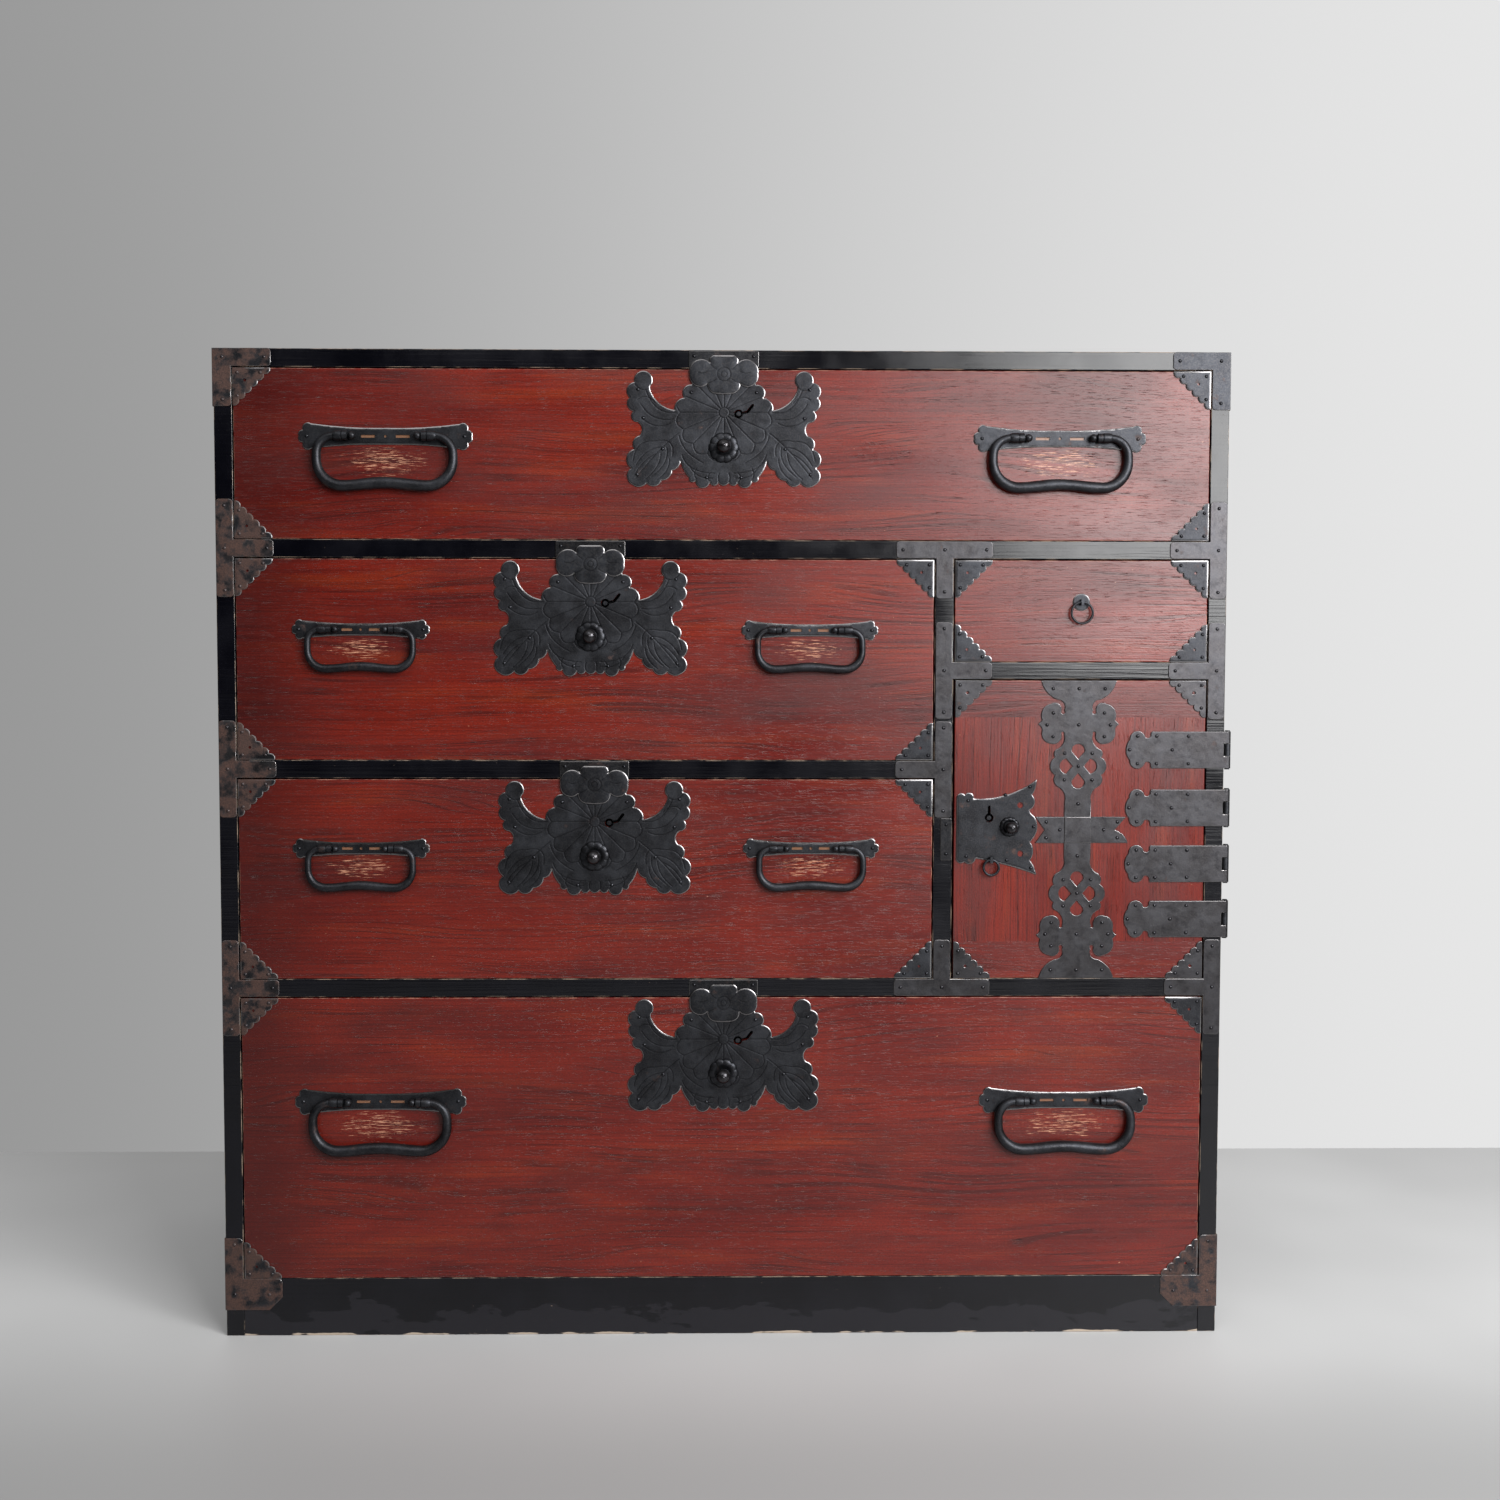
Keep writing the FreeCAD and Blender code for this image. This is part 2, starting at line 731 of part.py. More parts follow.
def wide_drawer(name, opening, lock_offset, bail_share, bail_drop, sizes):
    """A drawer with a lock and two bails; returns the cut that its bolt needs in the board above."""
    left, right, low, high = opening
    x0 = left + front_gap
    x1 = right - front_gap
    z0 = low + running_gap
    z1 = high - front_gap
    middle = (left + right) / 2
    lock_x = middle + lock_offset
    lock_z = high - lock_drop
    knob_z = lock_z - knob_drop
    axis = vec(lock_x, 0, knob_z)
    works = lock_works(z1 - knob_z, knob_ball, recess_half_width, knob_drop + recess_above_rays)
    knob, bolt, cut, mortise, cover, spring = [piece.translated(axis) for piece in works]
    key = keyhole(lock_x + key_offset, lock_z, key_slot_run, key_slot_rise)

    plane = max(sizes.grip + bail_clearance, sizes.pin + eye_fit + eye_wall + plate)
    beside_lock = (right - left) / 2 - lock_reach
    spread = lock_reach + beside_lock * bail_share
    fittings = corner_plates(x0, x1, z0, z1)
    shanks = []
    bails = []
    for turn in (-1, 1):
        bail_x = middle + turn * spread
        solids, cuts = bail_plate(bail_x, high - bail_drop, plane, sizes)
        fittings.extend(solids)
        shanks.extend(cuts)
        bails.append(bail(bail_x, high - bail_drop, plane, sizes))

    place = lambda a, b: vec(lock_x + a * lock_reach, 0, lock_z + b * lock_reach)
    face = half_sheet(lock_shares, place, plate, place(0, 0), sideways).cut([key, cut])
    blossom_z = lock_z + blossom_rise
    petal = lambda a, b: vec(lock_x + a * blossom_half_width, -plate, blossom_z + b * blossom_half_width)
    blossom = half_sheet(blossom_shares, petal, blossom_thickness, petal(0, 0), sideways)
    button_seat = vec(lock_x, -plate - blossom_thickness, blossom_z)
    button = rod(blossom_button, button_seat, outward, blossom_button_rise)
    washer = rosette(rosette_radius, rosette_crown_radius).translated(axis + outward * plate)
    pin_start = vec(lock_x + key_offset, cover_front, lock_z)
    key_post = rod(key_pin, pin_start, outward, cover_front + plate)
    lock = [face, joined([blossom, button]), washer, key_post, cover, spring]
    for across, along in lock_nail_shares:
        for turn in (-1, 1):
            lock.append(nail(place(turn * across, along) + outward * plate))

    front = box(x0, x1, 0, front_thickness, z0, z1).cut([cut, key] + shanks)
    write(name + "_front", [front])
    write(name + "_box", drawer_box(x0, x1, z0, z1))
    write(name + "_fittings", fittings)
    write(name + "_lock", lock)
    write(name + "_knob", [knob])
    write(name + "_bolt", [bolt])
    write(name + "_bail_left", [bails[0]])
    write(name + "_bail_right", [bails[1]])
    return mortise


def ring_pull(x, z, outer, wire):
    """A ring that hangs from an eye, the eye's post, and the cut for its shank."""
    mean = outer - wire
    ring = Part.makeTorus(mean, wire, vec(x, -ring_standoff, z - mean), outward)
    end = ring_standoff + wire + ring_post_end
    flat = box(
        x - ring_post_half_width, x + ring_post_half_width, -end, -plate, z - ring_post, z + ring_post
    )
    head = rod(ring_post, vec(x, -end, z), inward, end - plate).common(flat)
    shank = rod(eye_neck, vec(x, -plate, z), inward, plate + front_thickness)
    bore_start = vec(x - ring_post, -ring_standoff, z)
    bore = rod(wire + ring_play, bore_start, sideways, 2 * ring_post)
    post = head.fuse(shank).cut(bore).removeSplitter()
    hole_start = vec(x, -plate - overrun, z)
    cut = rod(eye_neck + shank_fit, hole_start, inward, plate + front_thickness + 2 * overrun)
    return ring, post, cut


def small_drawer(opening):
    """The drawer above the door, with a ring pull."""
    left, right, low, high = opening
    x0 = left + front_gap
    x1 = right - front_gap
    z0 = low + running_gap
    z1 = high - front_gap
    middle = (left + right) / 2
    ring_z = high - small_ring_drop
    ring, post, cut = ring_pull(middle, ring_z, small_ring_outer, small_ring_wire)
    disc = rod(ring_disc, vec(middle, 0, ring_z), outward, plate).cut(cut)
    write("small_drawer_front", [box(x0, x1, 0, front_thickness, z0, z1).cut(cut)])
    write("small_drawer_box", drawer_box(x0, x1, z0, z1))
    write("small_drawer_fittings", corner_plates(x0, x1, z0, z1) + [disc, post])
    write("small_drawer_ring", [ring])


def tall_strap(x, z, half_height):
    """The door's openwork strap with its cross strap, the raised crossing and nails."""
    place = lambda a, b: vec(x + a * strap_half_width, 0, z + b * half_height)
    upper = half_sheet(strap_shares, place, plate, vec(x, 0, z), sideways)
    strap = joined([upper, upper.mirror(vec(x, 0, z), upward)])
    left = x - cross_left
    right = x + cross_right
    rows = (
        (left, z + cross_half_height),
        (right - cross_tip_back, z + cross_half_height),
        (right - cross_end_notch, z),
        (right - cross_end_notch / 2, z - cross_half_height / 4, right, z - cross_half_height),
        (left, z - cross_half_height),
        (left + cross_notch, z),
        (left, z + cross_half_height),
    )
    cross = sheet(outline(rows, lambda a, b: vec(a, 0, b)), plate)
    openings = []
    for end in (-1, 1):
        lattice_z = z + end * strap_lattice_share * half_height
        for across, along in ((-1, 0), (1, 0), (0, -1), (0, 1)):
            centre = vec(x + across * opening_side, overrun, lattice_z + along * opening_rise)
            spot = lambda away, beside: centre + vec(
                (across * away + along * beside) * opening_half_width,
                0,
                (along * away + across * beside) * opening_half_height,
            )
            openings.append(sheet(outline(opening_shares, spot), plate + 2 * overrun))
    face = joined([strap, cross]).cut(openings)
    stem = strap_half_width * strap_shares[-2][0]
    raised = box(
        x - stem, x + stem, -plate - crossing_rise, -plate, z - cross_half_height, z + cross_half_height
    )
    solids = [face, raised]
    for across, along in strap_nail_shares:
        for end in (-1, 1):
            for turn in ((-1, 1) if across else (1,)):
                solids.append(nail(place(turn * across, end * along) + outward * plate))
    nail_rise = cross_nail_rise_share * cross_half_height
    for end_x, turn in ((left, 1), (right, -1)):
        solids.append(nail(vec(end_x + turn * cross_middle_nail, -plate, z)))
        for rise in (-nail_rise, nail_rise):
            solids.append(nail(vec(end_x + turn * cross_nail_inset, -plate, z + rise)))
    return solids


def knuckle(z, index):
    """One of a hinge's knuckles about the pin, counted from the lowest."""
    low = z - hinge_height / 2 + index * (knuckle_height + knuckle_gap)
    return low, rod(knuckle_radius, vec(pivot_x, pivot_y, low), upward, knuckle_height)


def hinge(z):
    """A strap that wraps round the case's edge, the leaf on the case's side, and the pin."""
    start = half_width - hinge_reach
    length = hinge_reach - knuckle_gap
    half_height = hinge_height / 2
    place = lambda a, b: vec(start + a * length, 0, z + b * half_height)
    strap = half_sheet(hinge_shares, place, hinge_plate, vec(start, 0, z), upward)
    leaf = box(
        half_width, half_width + hinge_plate, leaf_start, leaf_start + leaf_length, z - half_height, z + half_height
    )
    strap_parts = [strap]
    leaf_parts = [leaf]
    for index in range(knuckle_count):
        low, barrel = knuckle(z, index)
        high = low + knuckle_height
        if index % 2:
            leaf_parts.append(box(half_width, half_width + hinge_plate, pivot_y, leaf_start, low, high))
            leaf_parts.append(barrel)
        else:
            strap_parts.append(box(start + length, pivot_x, -hinge_plate, 0, low, high))
            strap_parts.append(barrel)
    bore = rod(hinge_pin + hinge_fit, vec(pivot_x, pivot_y, z - hinge_height), upward, 2 * hinge_height)
    pin_length = hinge_height + 2 * pin_head_gap
    pin_low = vec(pivot_x, pivot_y, z - pin_length / 2)
    pin = rod(hinge_pin, pin_low, upward, pin_length)
    top_head = rod(pin_head, pin_low + upward * pin_length, upward, pin_head_height)
    low_head = rod(pin_head, pin_low - upward * pin_head_height, upward, pin_head_height)
    strap_nails = []
    for across, along in hinge_nail_shares:
        strap_nails.append(nail(place(across, along) + outward * hinge_plate))
    leaf_nails = []
    side_face = half_width + hinge_plate
    for nail_y in (leaf_start + leaf_nail_inset, leaf_start + leaf_length - leaf_nail_inset):
        for end in (-1, 1):
            seat = vec(side_face, nail_y, z + end * (half_height - leaf_nail_inset))
            leaf_nails.append(nail(seat, sideways))
    strap = joined(strap_parts).cut(bore).removeSplitter()
    leaves = [joined(leaf_parts).cut(bore).removeSplitter()] + leaf_nails
    return strap, strap_nails, leaves, joined([pin, top_head, low_head])


def door(opening):
    """The door with its straps, hinges, lock and ring; returns the cut that its bolt needs."""
    left, right, low, high = opening
    x0 = left + door_free_gap
    x1 = right - front_gap
    z0 = low + running_gap
    z1 = high - front_gap
    middle_z = (z0 + z1) / 2
    knob_x = x0 + door_knob_inset
    knob_z = middle_z + door_knob_rise
    axis = vec(knob_x, 0, knob_z)
    works = lock_works(door_knob_inset, door_knob_ball, door_recess_half_width, door_recess_above)
    knob, bolt, cut, mortise, cover, spring = [
        piece.rotated(origin, inward, -90).translated(axis) for piece in works
    ]
    key_x = knob_x - door_key_shift
    key_z = knob_z + door_key_rise
    key = keyhole(key_x, key_z, 0, door_key_slot)
    ring_x = knob_x - door_ring_shift
    ring, post, ring_cut = ring_pull(ring_x, knob_z - door_ring_drop, door_ring_outer, door_ring_wire)

    lock_left = x0 + door_lock_inset
    place = lambda a, b: vec(lock_left + a * door_lock_width, 0, knob_z + b * door_lock_half_height)
    holes = []
    for across, along in door_lock_hole_shares:
        holes.append(rod(door_lock_hole, place(across, along) + inward * overrun, outward, plate + 2 * overrun))
    face = sheet(outline(door_lock_shares, place), plate).cut([key, cut, ring_cut] + holes)
    washer = rosette(door_rosette_radius, door_rosette_crown_radius).translated(axis + outward * plate)
    key_post = rod(key_pin, vec(key_x, cover_front, key_z), outward, cover_front + plate)
    lock = [face, washer, key_post, cover, spring, post]
    for across, along in door_lock_nail_shares:
        lock.append(nail(place(across, along) + outward * plate))

    end_low = z0 + door_end_height
    end_high = z1 - door_end_height
    panel = [
        box(x0, x1, 0, front_thickness, z0, end_low),
        box(x0, x1, 0, front_thickness, end_low, end_high).cut([cut, key, ring_cut]),
        box(x0, x1, 0, front_thickness, end_high, z1),
    ]
    door_irons = tall_strap(left + strap_place, middle_z, (z1 - z0) / 2) + corner_plates(x0, x1, z0, z1)
    straps = []
    leaves = []
    pins = []
    for drop in (first_hinge_drop, second_hinge_drop, third_hinge_drop, fourth_hinge_drop):
        strap, nails, leaf, pin = hinge(high - drop)
        straps.append(strap)
        door_irons.extend(nails)
        leaves.extend(leaf)
        pins.append(pin)
    write("door_panel", panel)
    write("door_straps", door_irons)
    write("door_hinge_straps", straps)
    write("door_lock_plate", lock)
    write("door_knob", [knob])
    write("door_bolt", [bolt])
    write("door_ring", [ring])
    write("door_hinge_leaves", leaves)
    write("door_hinge_pins", pins)
    return mortise


def cross_plate(x, z, left, right, up, down):
    """A plate over a joint of rail and stile, with arms of the lengths given, and a nail near each end."""
    half = board / 2 - plate_margin
    across = rounded(
        x - max(left, half), x + max(right, half), z - half, z + half, plate_corner, case_plate
    )
    along = rounded(x - half, x + half, z - max(down, half), z + max(up, half), plate_corner, case_plate)
    solids = [joined([across, along]), nail(vec(x, -case_plate, z))]
    for dx, dz in ((-left, 0), (right, 0), (0, up), (0, -down)):
        length = abs(dx + dz)
        if length:
            place = (length - plate_nail_inset) / length
            solids.append(nail(vec(x + dx * place, -case_plate, z + dz * place)))
    return solids


def tee_plates():
    stile = half_width - board / 2
    upper = (shelf_upper_top + shelf_upper_low) / 2
    middle = (shelf_middle_top + shelf_middle_low) / 2
    lower = (shelf_lower_top + shelf_lower_low) / 2
    small = (small_rail_top + small_rail_low) / 2
    solids = []
    for z in (upper, middle, lower):
        solids.extend(cross_plate(-stile, z, 0, tee_arm, tee_arm, tee_arm))
    for z in (upper, small, lower):
        solids.extend(cross_plate(stile, z, tee_arm, 0, tee_arm, tee_arm))
    solids.extend(cross_plate(divider_centre, upper, tee_arm, tee_arm, 0, tee_arm))
    solids.extend(cross_plate(divider_centre, small, 0, tee_arm, tee_arm, tee_arm))
    solids.extend(cross_plate(divider_centre, middle, tee_arm, 0, tee_arm, tee_arm))
    solids.extend(cross_plate(divider_centre, lower, tee_arm, tee_arm, tee_arm, 0))
    return solids


def case_corner(side, z_edge, up, height, rail_height, cut):
    """An L plate on an outer corner of the front, bent back round the side board."""
    width = board - plate_margin
    face_low = min(z_edge, z_edge + up * rail_height)
    bar_low = min(z_edge, z_edge + up * height)
    arm_in = half_width - corner_arm
    arm = rounded(arm_in, half_width, face_low, face_low + rail_height, plate_corner, case_plate)
    if cut:
        rows = (
            (arm_in - overrun, face_low - overrun),
            (arm_in + cut, face_low - overrun),
            (arm_in + cut, face_low),
            (arm_in, face_low + cut),
            (arm_in - overrun, face_low + cut),
            (arm_in - overrun, face_low - overrun),
        )
        arm = arm.cut(sheet(outline(rows, lambda a, b: vec(a, overrun, b)), case_plate + 2 * overrun))
    bar = rounded(half_width - width, half_width, bar_low, bar_low + height, plate_corner, case_plate)
    edge = half_width + case_plate
    corner = box(half_width - plate_corner, edge, -case_plate, 0, bar_low, bar_low + height)
    wrap = box(half_width, edge, 0, corner_wrap, bar_low, bar_low + height)
    solids = [joined([arm, bar, corner, wrap])]
    nail_z = z_edge + up * (rail_height / 2)
    for seat in (
        vec(arm_in + plate_nail_inset + cut / 2, -case_plate, nail_z),
        vec(half_width - board / 2, -case_plate, nail_z),
        vec(half_width - board / 2, -case_plate, z_edge + up * (height - plate_nail_inset)),
    ):
        solids.append(nail(seat))
    for seat_z in (z_edge + up * plate_nail_inset, z_edge + up * (height - plate_nail_inset)):
        solids.append(nail(vec(edge, corner_wrap - plate_nail_inset, seat_z), sideways))
    if side < 0:
        solids = [solid.mirror(origin, sideways) for solid in solids]
    return solids


def case(mortises):
    """The boards of the case, the plates on its front, and the strikes above the locks."""
    top_cut, upper_cut, middle_cut, lower_cut, divider_cut = mortises
    write("case_top", [box(-half_width, half_width, 0, case_depth, top_inner, case_height).cut(top_cut)])
    write("case_left_side", [box(-half_width, -inner, 0, case_depth, 0, top_inner)])
    write("case_right_side", [box(inner, half_width, 0, case_depth, 0, top_inner)])
    write("base_rail", [box(-inner, inner, 0, base_rail_thickness, 0, base_height)])
    bottom_low = base_height - bottom_board
    write("case_bottom", [box(-inner, inner, base_rail_thickness, back_front, bottom_low, base_height)])
    pitch = 2 * inner / back_plank_count
    planks = []
    for index in range(back_plank_count):
        start = -inner + index * pitch
        planks.append(box(start, start + pitch - plank_gap, back_front, case_depth, 0, top_inner))
    write("case_back", planks)
    upper = box(-inner, inner, 0, back_front, shelf_upper_low, shelf_upper_top)
    write("shelf_upper", [upper.cut(upper_cut)])
    lower = box(-inner, inner, 0, back_front, shelf_lower_low, shelf_lower_top)
    write("shelf_lower", [lower.cut(lower_cut)])
    middle = box(-inner, divider_left, 0, back_front, shelf_middle_low, shelf_middle_top)
    write("shelf_middle_left", [middle.cut(middle_cut)])
    write("shelf_middle_right", [box(divider_right, inner, 0, back_front, small_rail_low, small_rail_top)])
    divider = box(divider_left, divider_right, 0, back_front, shelf_lower_top, shelf_upper_low)
    write("divider", [divider.cut(divider_cut)])

    corners = []
    rail = board - plate_margin
    foot_height = foot_plate_high - foot_plate_low
    foot_rail = base_height - foot_plate_low
    for side in (-1, 1):
        corners.extend(case_corner(side, case_height, -1, corner_arm, rail, 0))
        corners.extend(case_corner(side, foot_plate_low, 1, foot_height, foot_rail, foot_plate_cut))
    write("case_corner_plates", corners)
    write("case_tee_plates", tee_plates())

    strikes = []
    row_middle = (divider_left - inner) / 2
    for x, low in (
        (0, top_inner),
        (row_middle + second_lock_offset, shelf_upper_low),
        (row_middle + third_lock_offset, shelf_middle_low),
        (0, shelf_lower_low),
    ):
        z = low + board / 2
        half = strike_height / 2
        strikes.append(
            rounded(x - strike_half_width, x + strike_half_width, z - half, z + half, plate_hole, case_plate)
        )
        for turn in (-1, 1):
            strikes.append(nail(vec(x + turn * strike_nail, -case_plate, z + strike_nail_rise)))
    strike_top = (shelf_middle_top + shelf_middle_low) / 2 - tee_arm - plate_margin
    strike_low = strike_top - door_strike_height
    strike_right = divider_right - plate_margin
    strike_left = strike_right - door_strike_width
    strikes.append(rounded(strike_left, strike_right, strike_low, strike_top, plate_hole, case_plate))
    for z in (strike_low + plate_nail_inset, strike_top - plate_nail_inset):
        strikes.append(nail(vec(strike_left + door_strike_width / 2, -case_plate, z)))
    write("lock_strikes", strikes)


Bail = namedtuple("Bail", "width drop side grip pin post bend plate_length plate_height")
large_bail = Bail(
    width=large_bail_width,
    drop=large_bail_drop,
    side=large_bail_side,
    grip=large_bail_grip,
    pin=large_bail_pin,
    post=large_bail_post,
    bend=large_bail_bend,
    plate_length=large_bail_plate,
    plate_height=large_bail_plate_height,
)
small_bail = Bail(
    width=small_bail_width,
    drop=small_bail_drop,
    side=small_bail_side,
    grip=small_bail_grip,
    pin=small_bail_pin,
    post=small_bail_post,
    bend=small_bail_bend,
    plate_length=small_bail_plate,
    plate_height=small_bail_plate_height,
)

top_opening = (-inner, inner, shelf_upper_top, top_inner)
second_opening = (-inner, divider_left, shelf_middle_top, shelf_upper_low)
third_opening = (-inner, divider_left, shelf_lower_top, shelf_middle_low)
bottom_opening = (-inner, inner, base_height, shelf_lower_low)
small_opening = (divider_right, inner, small_rail_top, shelf_upper_low)
door_opening = (divider_right, inner, shelf_lower_top, small_rail_low)

case(
    (
        wide_drawer("top_drawer", top_opening, 0, top_bail_share, top_bail_drop, large_bail),
        wide_drawer(
            "second_drawer", second_opening, second_lock_offset, second_bail_share, second_bail_drop, small_bail
        ),
        wide_drawer(
            "third_drawer", third_opening, third_lock_offset, third_bail_share, third_bail_drop, small_bail
        ),
        wide_drawer("bottom_drawer", bottom_opening, 0, bottom_bail_share, bottom_bail_drop, large_bail),
        door(door_opening),
    )
)
small_drawer(small_opening)
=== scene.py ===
import json
from math import cos, pi, radians, sin

import bmesh
import bpy
import numpy as np
from mathutils import Matrix, Vector
from mathutils.geometry import delaunay_2d_cdt


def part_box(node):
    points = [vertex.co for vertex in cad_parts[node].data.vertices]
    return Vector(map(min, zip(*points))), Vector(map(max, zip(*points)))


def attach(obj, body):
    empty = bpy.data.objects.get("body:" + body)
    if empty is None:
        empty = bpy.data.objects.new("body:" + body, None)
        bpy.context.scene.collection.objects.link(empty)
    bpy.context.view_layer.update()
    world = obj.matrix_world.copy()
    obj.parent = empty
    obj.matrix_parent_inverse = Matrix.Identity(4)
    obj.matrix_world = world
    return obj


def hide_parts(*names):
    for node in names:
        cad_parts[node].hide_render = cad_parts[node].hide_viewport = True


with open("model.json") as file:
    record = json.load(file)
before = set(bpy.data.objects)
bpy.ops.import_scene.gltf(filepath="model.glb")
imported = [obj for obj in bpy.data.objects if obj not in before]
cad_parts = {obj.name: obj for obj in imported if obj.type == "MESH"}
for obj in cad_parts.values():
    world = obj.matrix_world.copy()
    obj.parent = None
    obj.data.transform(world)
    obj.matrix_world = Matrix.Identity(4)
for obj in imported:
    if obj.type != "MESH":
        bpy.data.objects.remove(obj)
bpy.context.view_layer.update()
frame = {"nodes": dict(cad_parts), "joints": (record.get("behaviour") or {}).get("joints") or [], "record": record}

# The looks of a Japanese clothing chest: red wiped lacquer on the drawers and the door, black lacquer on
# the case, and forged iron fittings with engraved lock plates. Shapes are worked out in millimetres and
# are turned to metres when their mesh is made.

mm = 0.001
members = frame["record"]["behaviour"]["bodies"]
body_of = {node: body for body, held in members.items() for node in held}
joint_of = {joint["name"]: joint for joint in frame["joints"]}

wide_drawers = ("top_drawer", "second_drawer", "third_drawer", "bottom_drawer")
drawers = wide_drawers + ("small_drawer",)

# Edges and working of the pieces: widths of rounded edges, spacing of the points on a plate's face, sizes
# that tell nails and plates apart, and the width of the boards across the door's ends
board_edge = 0.8
thin_edge = 0.7
plate_edge = 1.1
plate_edge_drop = 0.45
plate_pitch = 0.75
corner_pitch = 1.6
merge_distance = 0.002
level_margin = 0.01
nail_size = 7.0
plate_thickest = 2.0
plate_shortest = 12.0
rows_at_once = 40
door_end_width = 39.0
crease_angle = radians(50)

# Engraving: depth, half width of a cut, and the round body of a lock plate about its ray centre
cut_depth = 0.3
cut_half_width = 0.42
faint_cut = 0.16
ray_start = 5.5
petal_valley = 45.5
petal_tip = 50.5
ray_count = 16

# Lock plates: the knob's ball, the ray centre above it, the blossom's levels, lobes and centre, and washers
knob_ball = 7.7
rays_above_knob = 35.0
blossom_width = 70.0
blossom_margin = 10.0
blossom_front = -3.6
blossom_ease = 0.55
blossom_drop = 19.44
lobe_swell = 0.6
lobe_reach = 4.0
button_swell = 0.25
button_radius = 5.0
blossom_pitch = 0.8
outer_ring = 7.0
inner_ring = 3.0
drawer_washer = {"width": 33.0, "hole": 5.4, "petals": 10, "edge": 0.9, "crown": 2.4}
door_washer = {"width": 22.0, "hole": 5.4, "petals": 12, "edge": 0.7, "crown": 2.2}
washer_margin = 3.0

# Bails: half thickness beside the pins, down the limbs and in the grip, half the span between the eye
# posts, radii of the bends, rise of the grip's middle, and radius of the pins
large_bail = {
    "side": 4.2, "limb": 5.3, "grip": 6.3, "post": 41.0, "top_bend": 19.0, "low_bend": 27.0, "arch": 3.2,
    "pin": 3.0, "pin_knob": 4.2,
}
small_bail = {
    "side": 3.2, "limb": 3.7, "grip": 5.0, "post": 32.5, "top_bend": 13.0, "low_bend": 19.0, "arch": 2.4,
    "pin": 2.3, "pin_knob": 3.5,
}
eye_half_width = 2.5
bail_play = 0.4
barrel_length = 9.5
barrel_rise = 1.0
forging = 0.12
forging_wave = 7.0
bar_rings = 150

# Worn places behind a bail, as shares of its width and height, and half the height of a bail plate's slots
worn_half_width = 0.36
worn_half_height = 0.32
worn_middle = 0.52
slot_half_height = 3.5

# Growth lines in a metre of wood. The rest is in metres: how far back lacquer reaches on the fronts and on
# the case, where the case's plain inside begins, where painted shade darkens the red fronts toward the
# left edge, and where damp and wear fade at the left edge and at the foot
growth_lines = 105.0
front_lacquered = (0.0165, 0.0175)
rail_lacquered = (0.0215, 0.0225)
inside_half_width = 0.5113
inside_top = 1.0253
left_shade_span = (-0.47, -0.36)
damp_side = (-0.50, -0.43)
damp_foot = (0.09, 0.125)
rubbed_foot = (0.012, 0.048)
bare_foot = (0.001, 0.006)


# Mesh building

def values_of(items, name, width=1, kind=float):
    """One property of a mesh's points, edges, faces or corners, as an array."""
    values = np.empty(len(items) * width, kind)
    items.foreach_get(name, values)
    return values.reshape(-1, width) if width > 1 else values


def mark_points(mesh, mark, values):
    """Gives each point of a mesh a named value."""
    mesh.attributes.new(mark, "FLOAT", "POINT").data.foreach_set("value", np.asarray(values, np.float32))


def piece(name, shells, node, finish):
    """One iron object in place of a node, from shells: points in mm, faces and named point values."""
    points, faces, start = [], [], 0
    marks = {}
    for shell_points, shell_faces, shell_marks in shells:
        points.append(np.asarray(shell_points, float))
        faces.extend([[start + corner for corner in face] for face in shell_faces])
        for mark, values in shell_marks.items():
            marks.setdefault(mark, []).append((start, values))
        start += len(shell_points)
    mesh = bpy.data.meshes.new(name)
    mesh.from_pydata((np.concatenate(points) * mm).tolist(), [], faces)
    for mark, spans in marks.items():
        whole = np.zeros(start, np.float32)
        for first, values in spans:
            whole[first:first + len(values)] = values
        mark_points(mesh, mark, whole)
    return placed(name, mesh, node, finish)


def firm_normals(mesh):
    """Corner normals that follow the large faces, so that a flat face stays flat up to its rounded edge:
    the sum of area times normal over the faces round a point that turn less than crease_angle from the
    corner's own face."""
    count = len(mesh.loops)
    corner_point = values_of(mesh.loops, "vertex_index", kind=int)
    normals = values_of(mesh.polygons, "normal", 3)
    areas = values_of(mesh.polygons, "area")
    face_corners = values_of(mesh.polygons, "loop_total", kind=int)
    corner_face = np.repeat(np.arange(len(areas)), face_corners)
    held = np.bincount(corner_point)
    first = np.cumsum(held) - held
    partners = held[corner_point]
    own = np.repeat(np.arange(count), partners)
    step = np.arange(len(own)) - np.repeat(np.cumsum(partners) - partners, partners)
    other = corner_face[np.argsort(corner_point, kind="stable")[first[corner_point[own]] + step]]
    near = (normals[corner_face[own]] * normals[other]).sum(axis=1) > cos(crease_angle)
    pulls = ((areas[other] * near)[:, None] * normals[other]).T
    total = np.stack([np.bincount(own, weights=pull, minlength=count) for pull in pulls], axis=1)
    total /= np.maximum(np.linalg.norm(total, axis=1, keepdims=True), 1e-12)
    mesh.normals_split_custom_set(total.tolist())


def linked(name, data):
    """A new object in the scene."""
    thing = bpy.data.objects.new(name, data)
    bpy.context.scene.collection.objects.link(thing)
    return thing


def placed(name, mesh, node, finish):
    """A finished mesh as an object with its finish, in place of a node and on the node's body."""
    mesh.materials.clear()
    mesh.materials.append(finish)
    mesh.shade_smooth()
    firm_normals(mesh)
    thing = linked(name, mesh)
    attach(thing, body_of[node])
    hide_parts(node)
    return thing


def grid_faces(rows, columns):
    """Four-sided faces of a grid of points, row after row, whose last column meets its first."""
    row = np.arange(rows - 1)[:, None] * columns
    column = np.arange(columns)[None, :]
    after = (column + 1) % columns
    quads = np.stack([row + column, row + after, row + columns + after, row + columns + column], axis=-1)
    return quads.reshape(-1, 4).tolist()


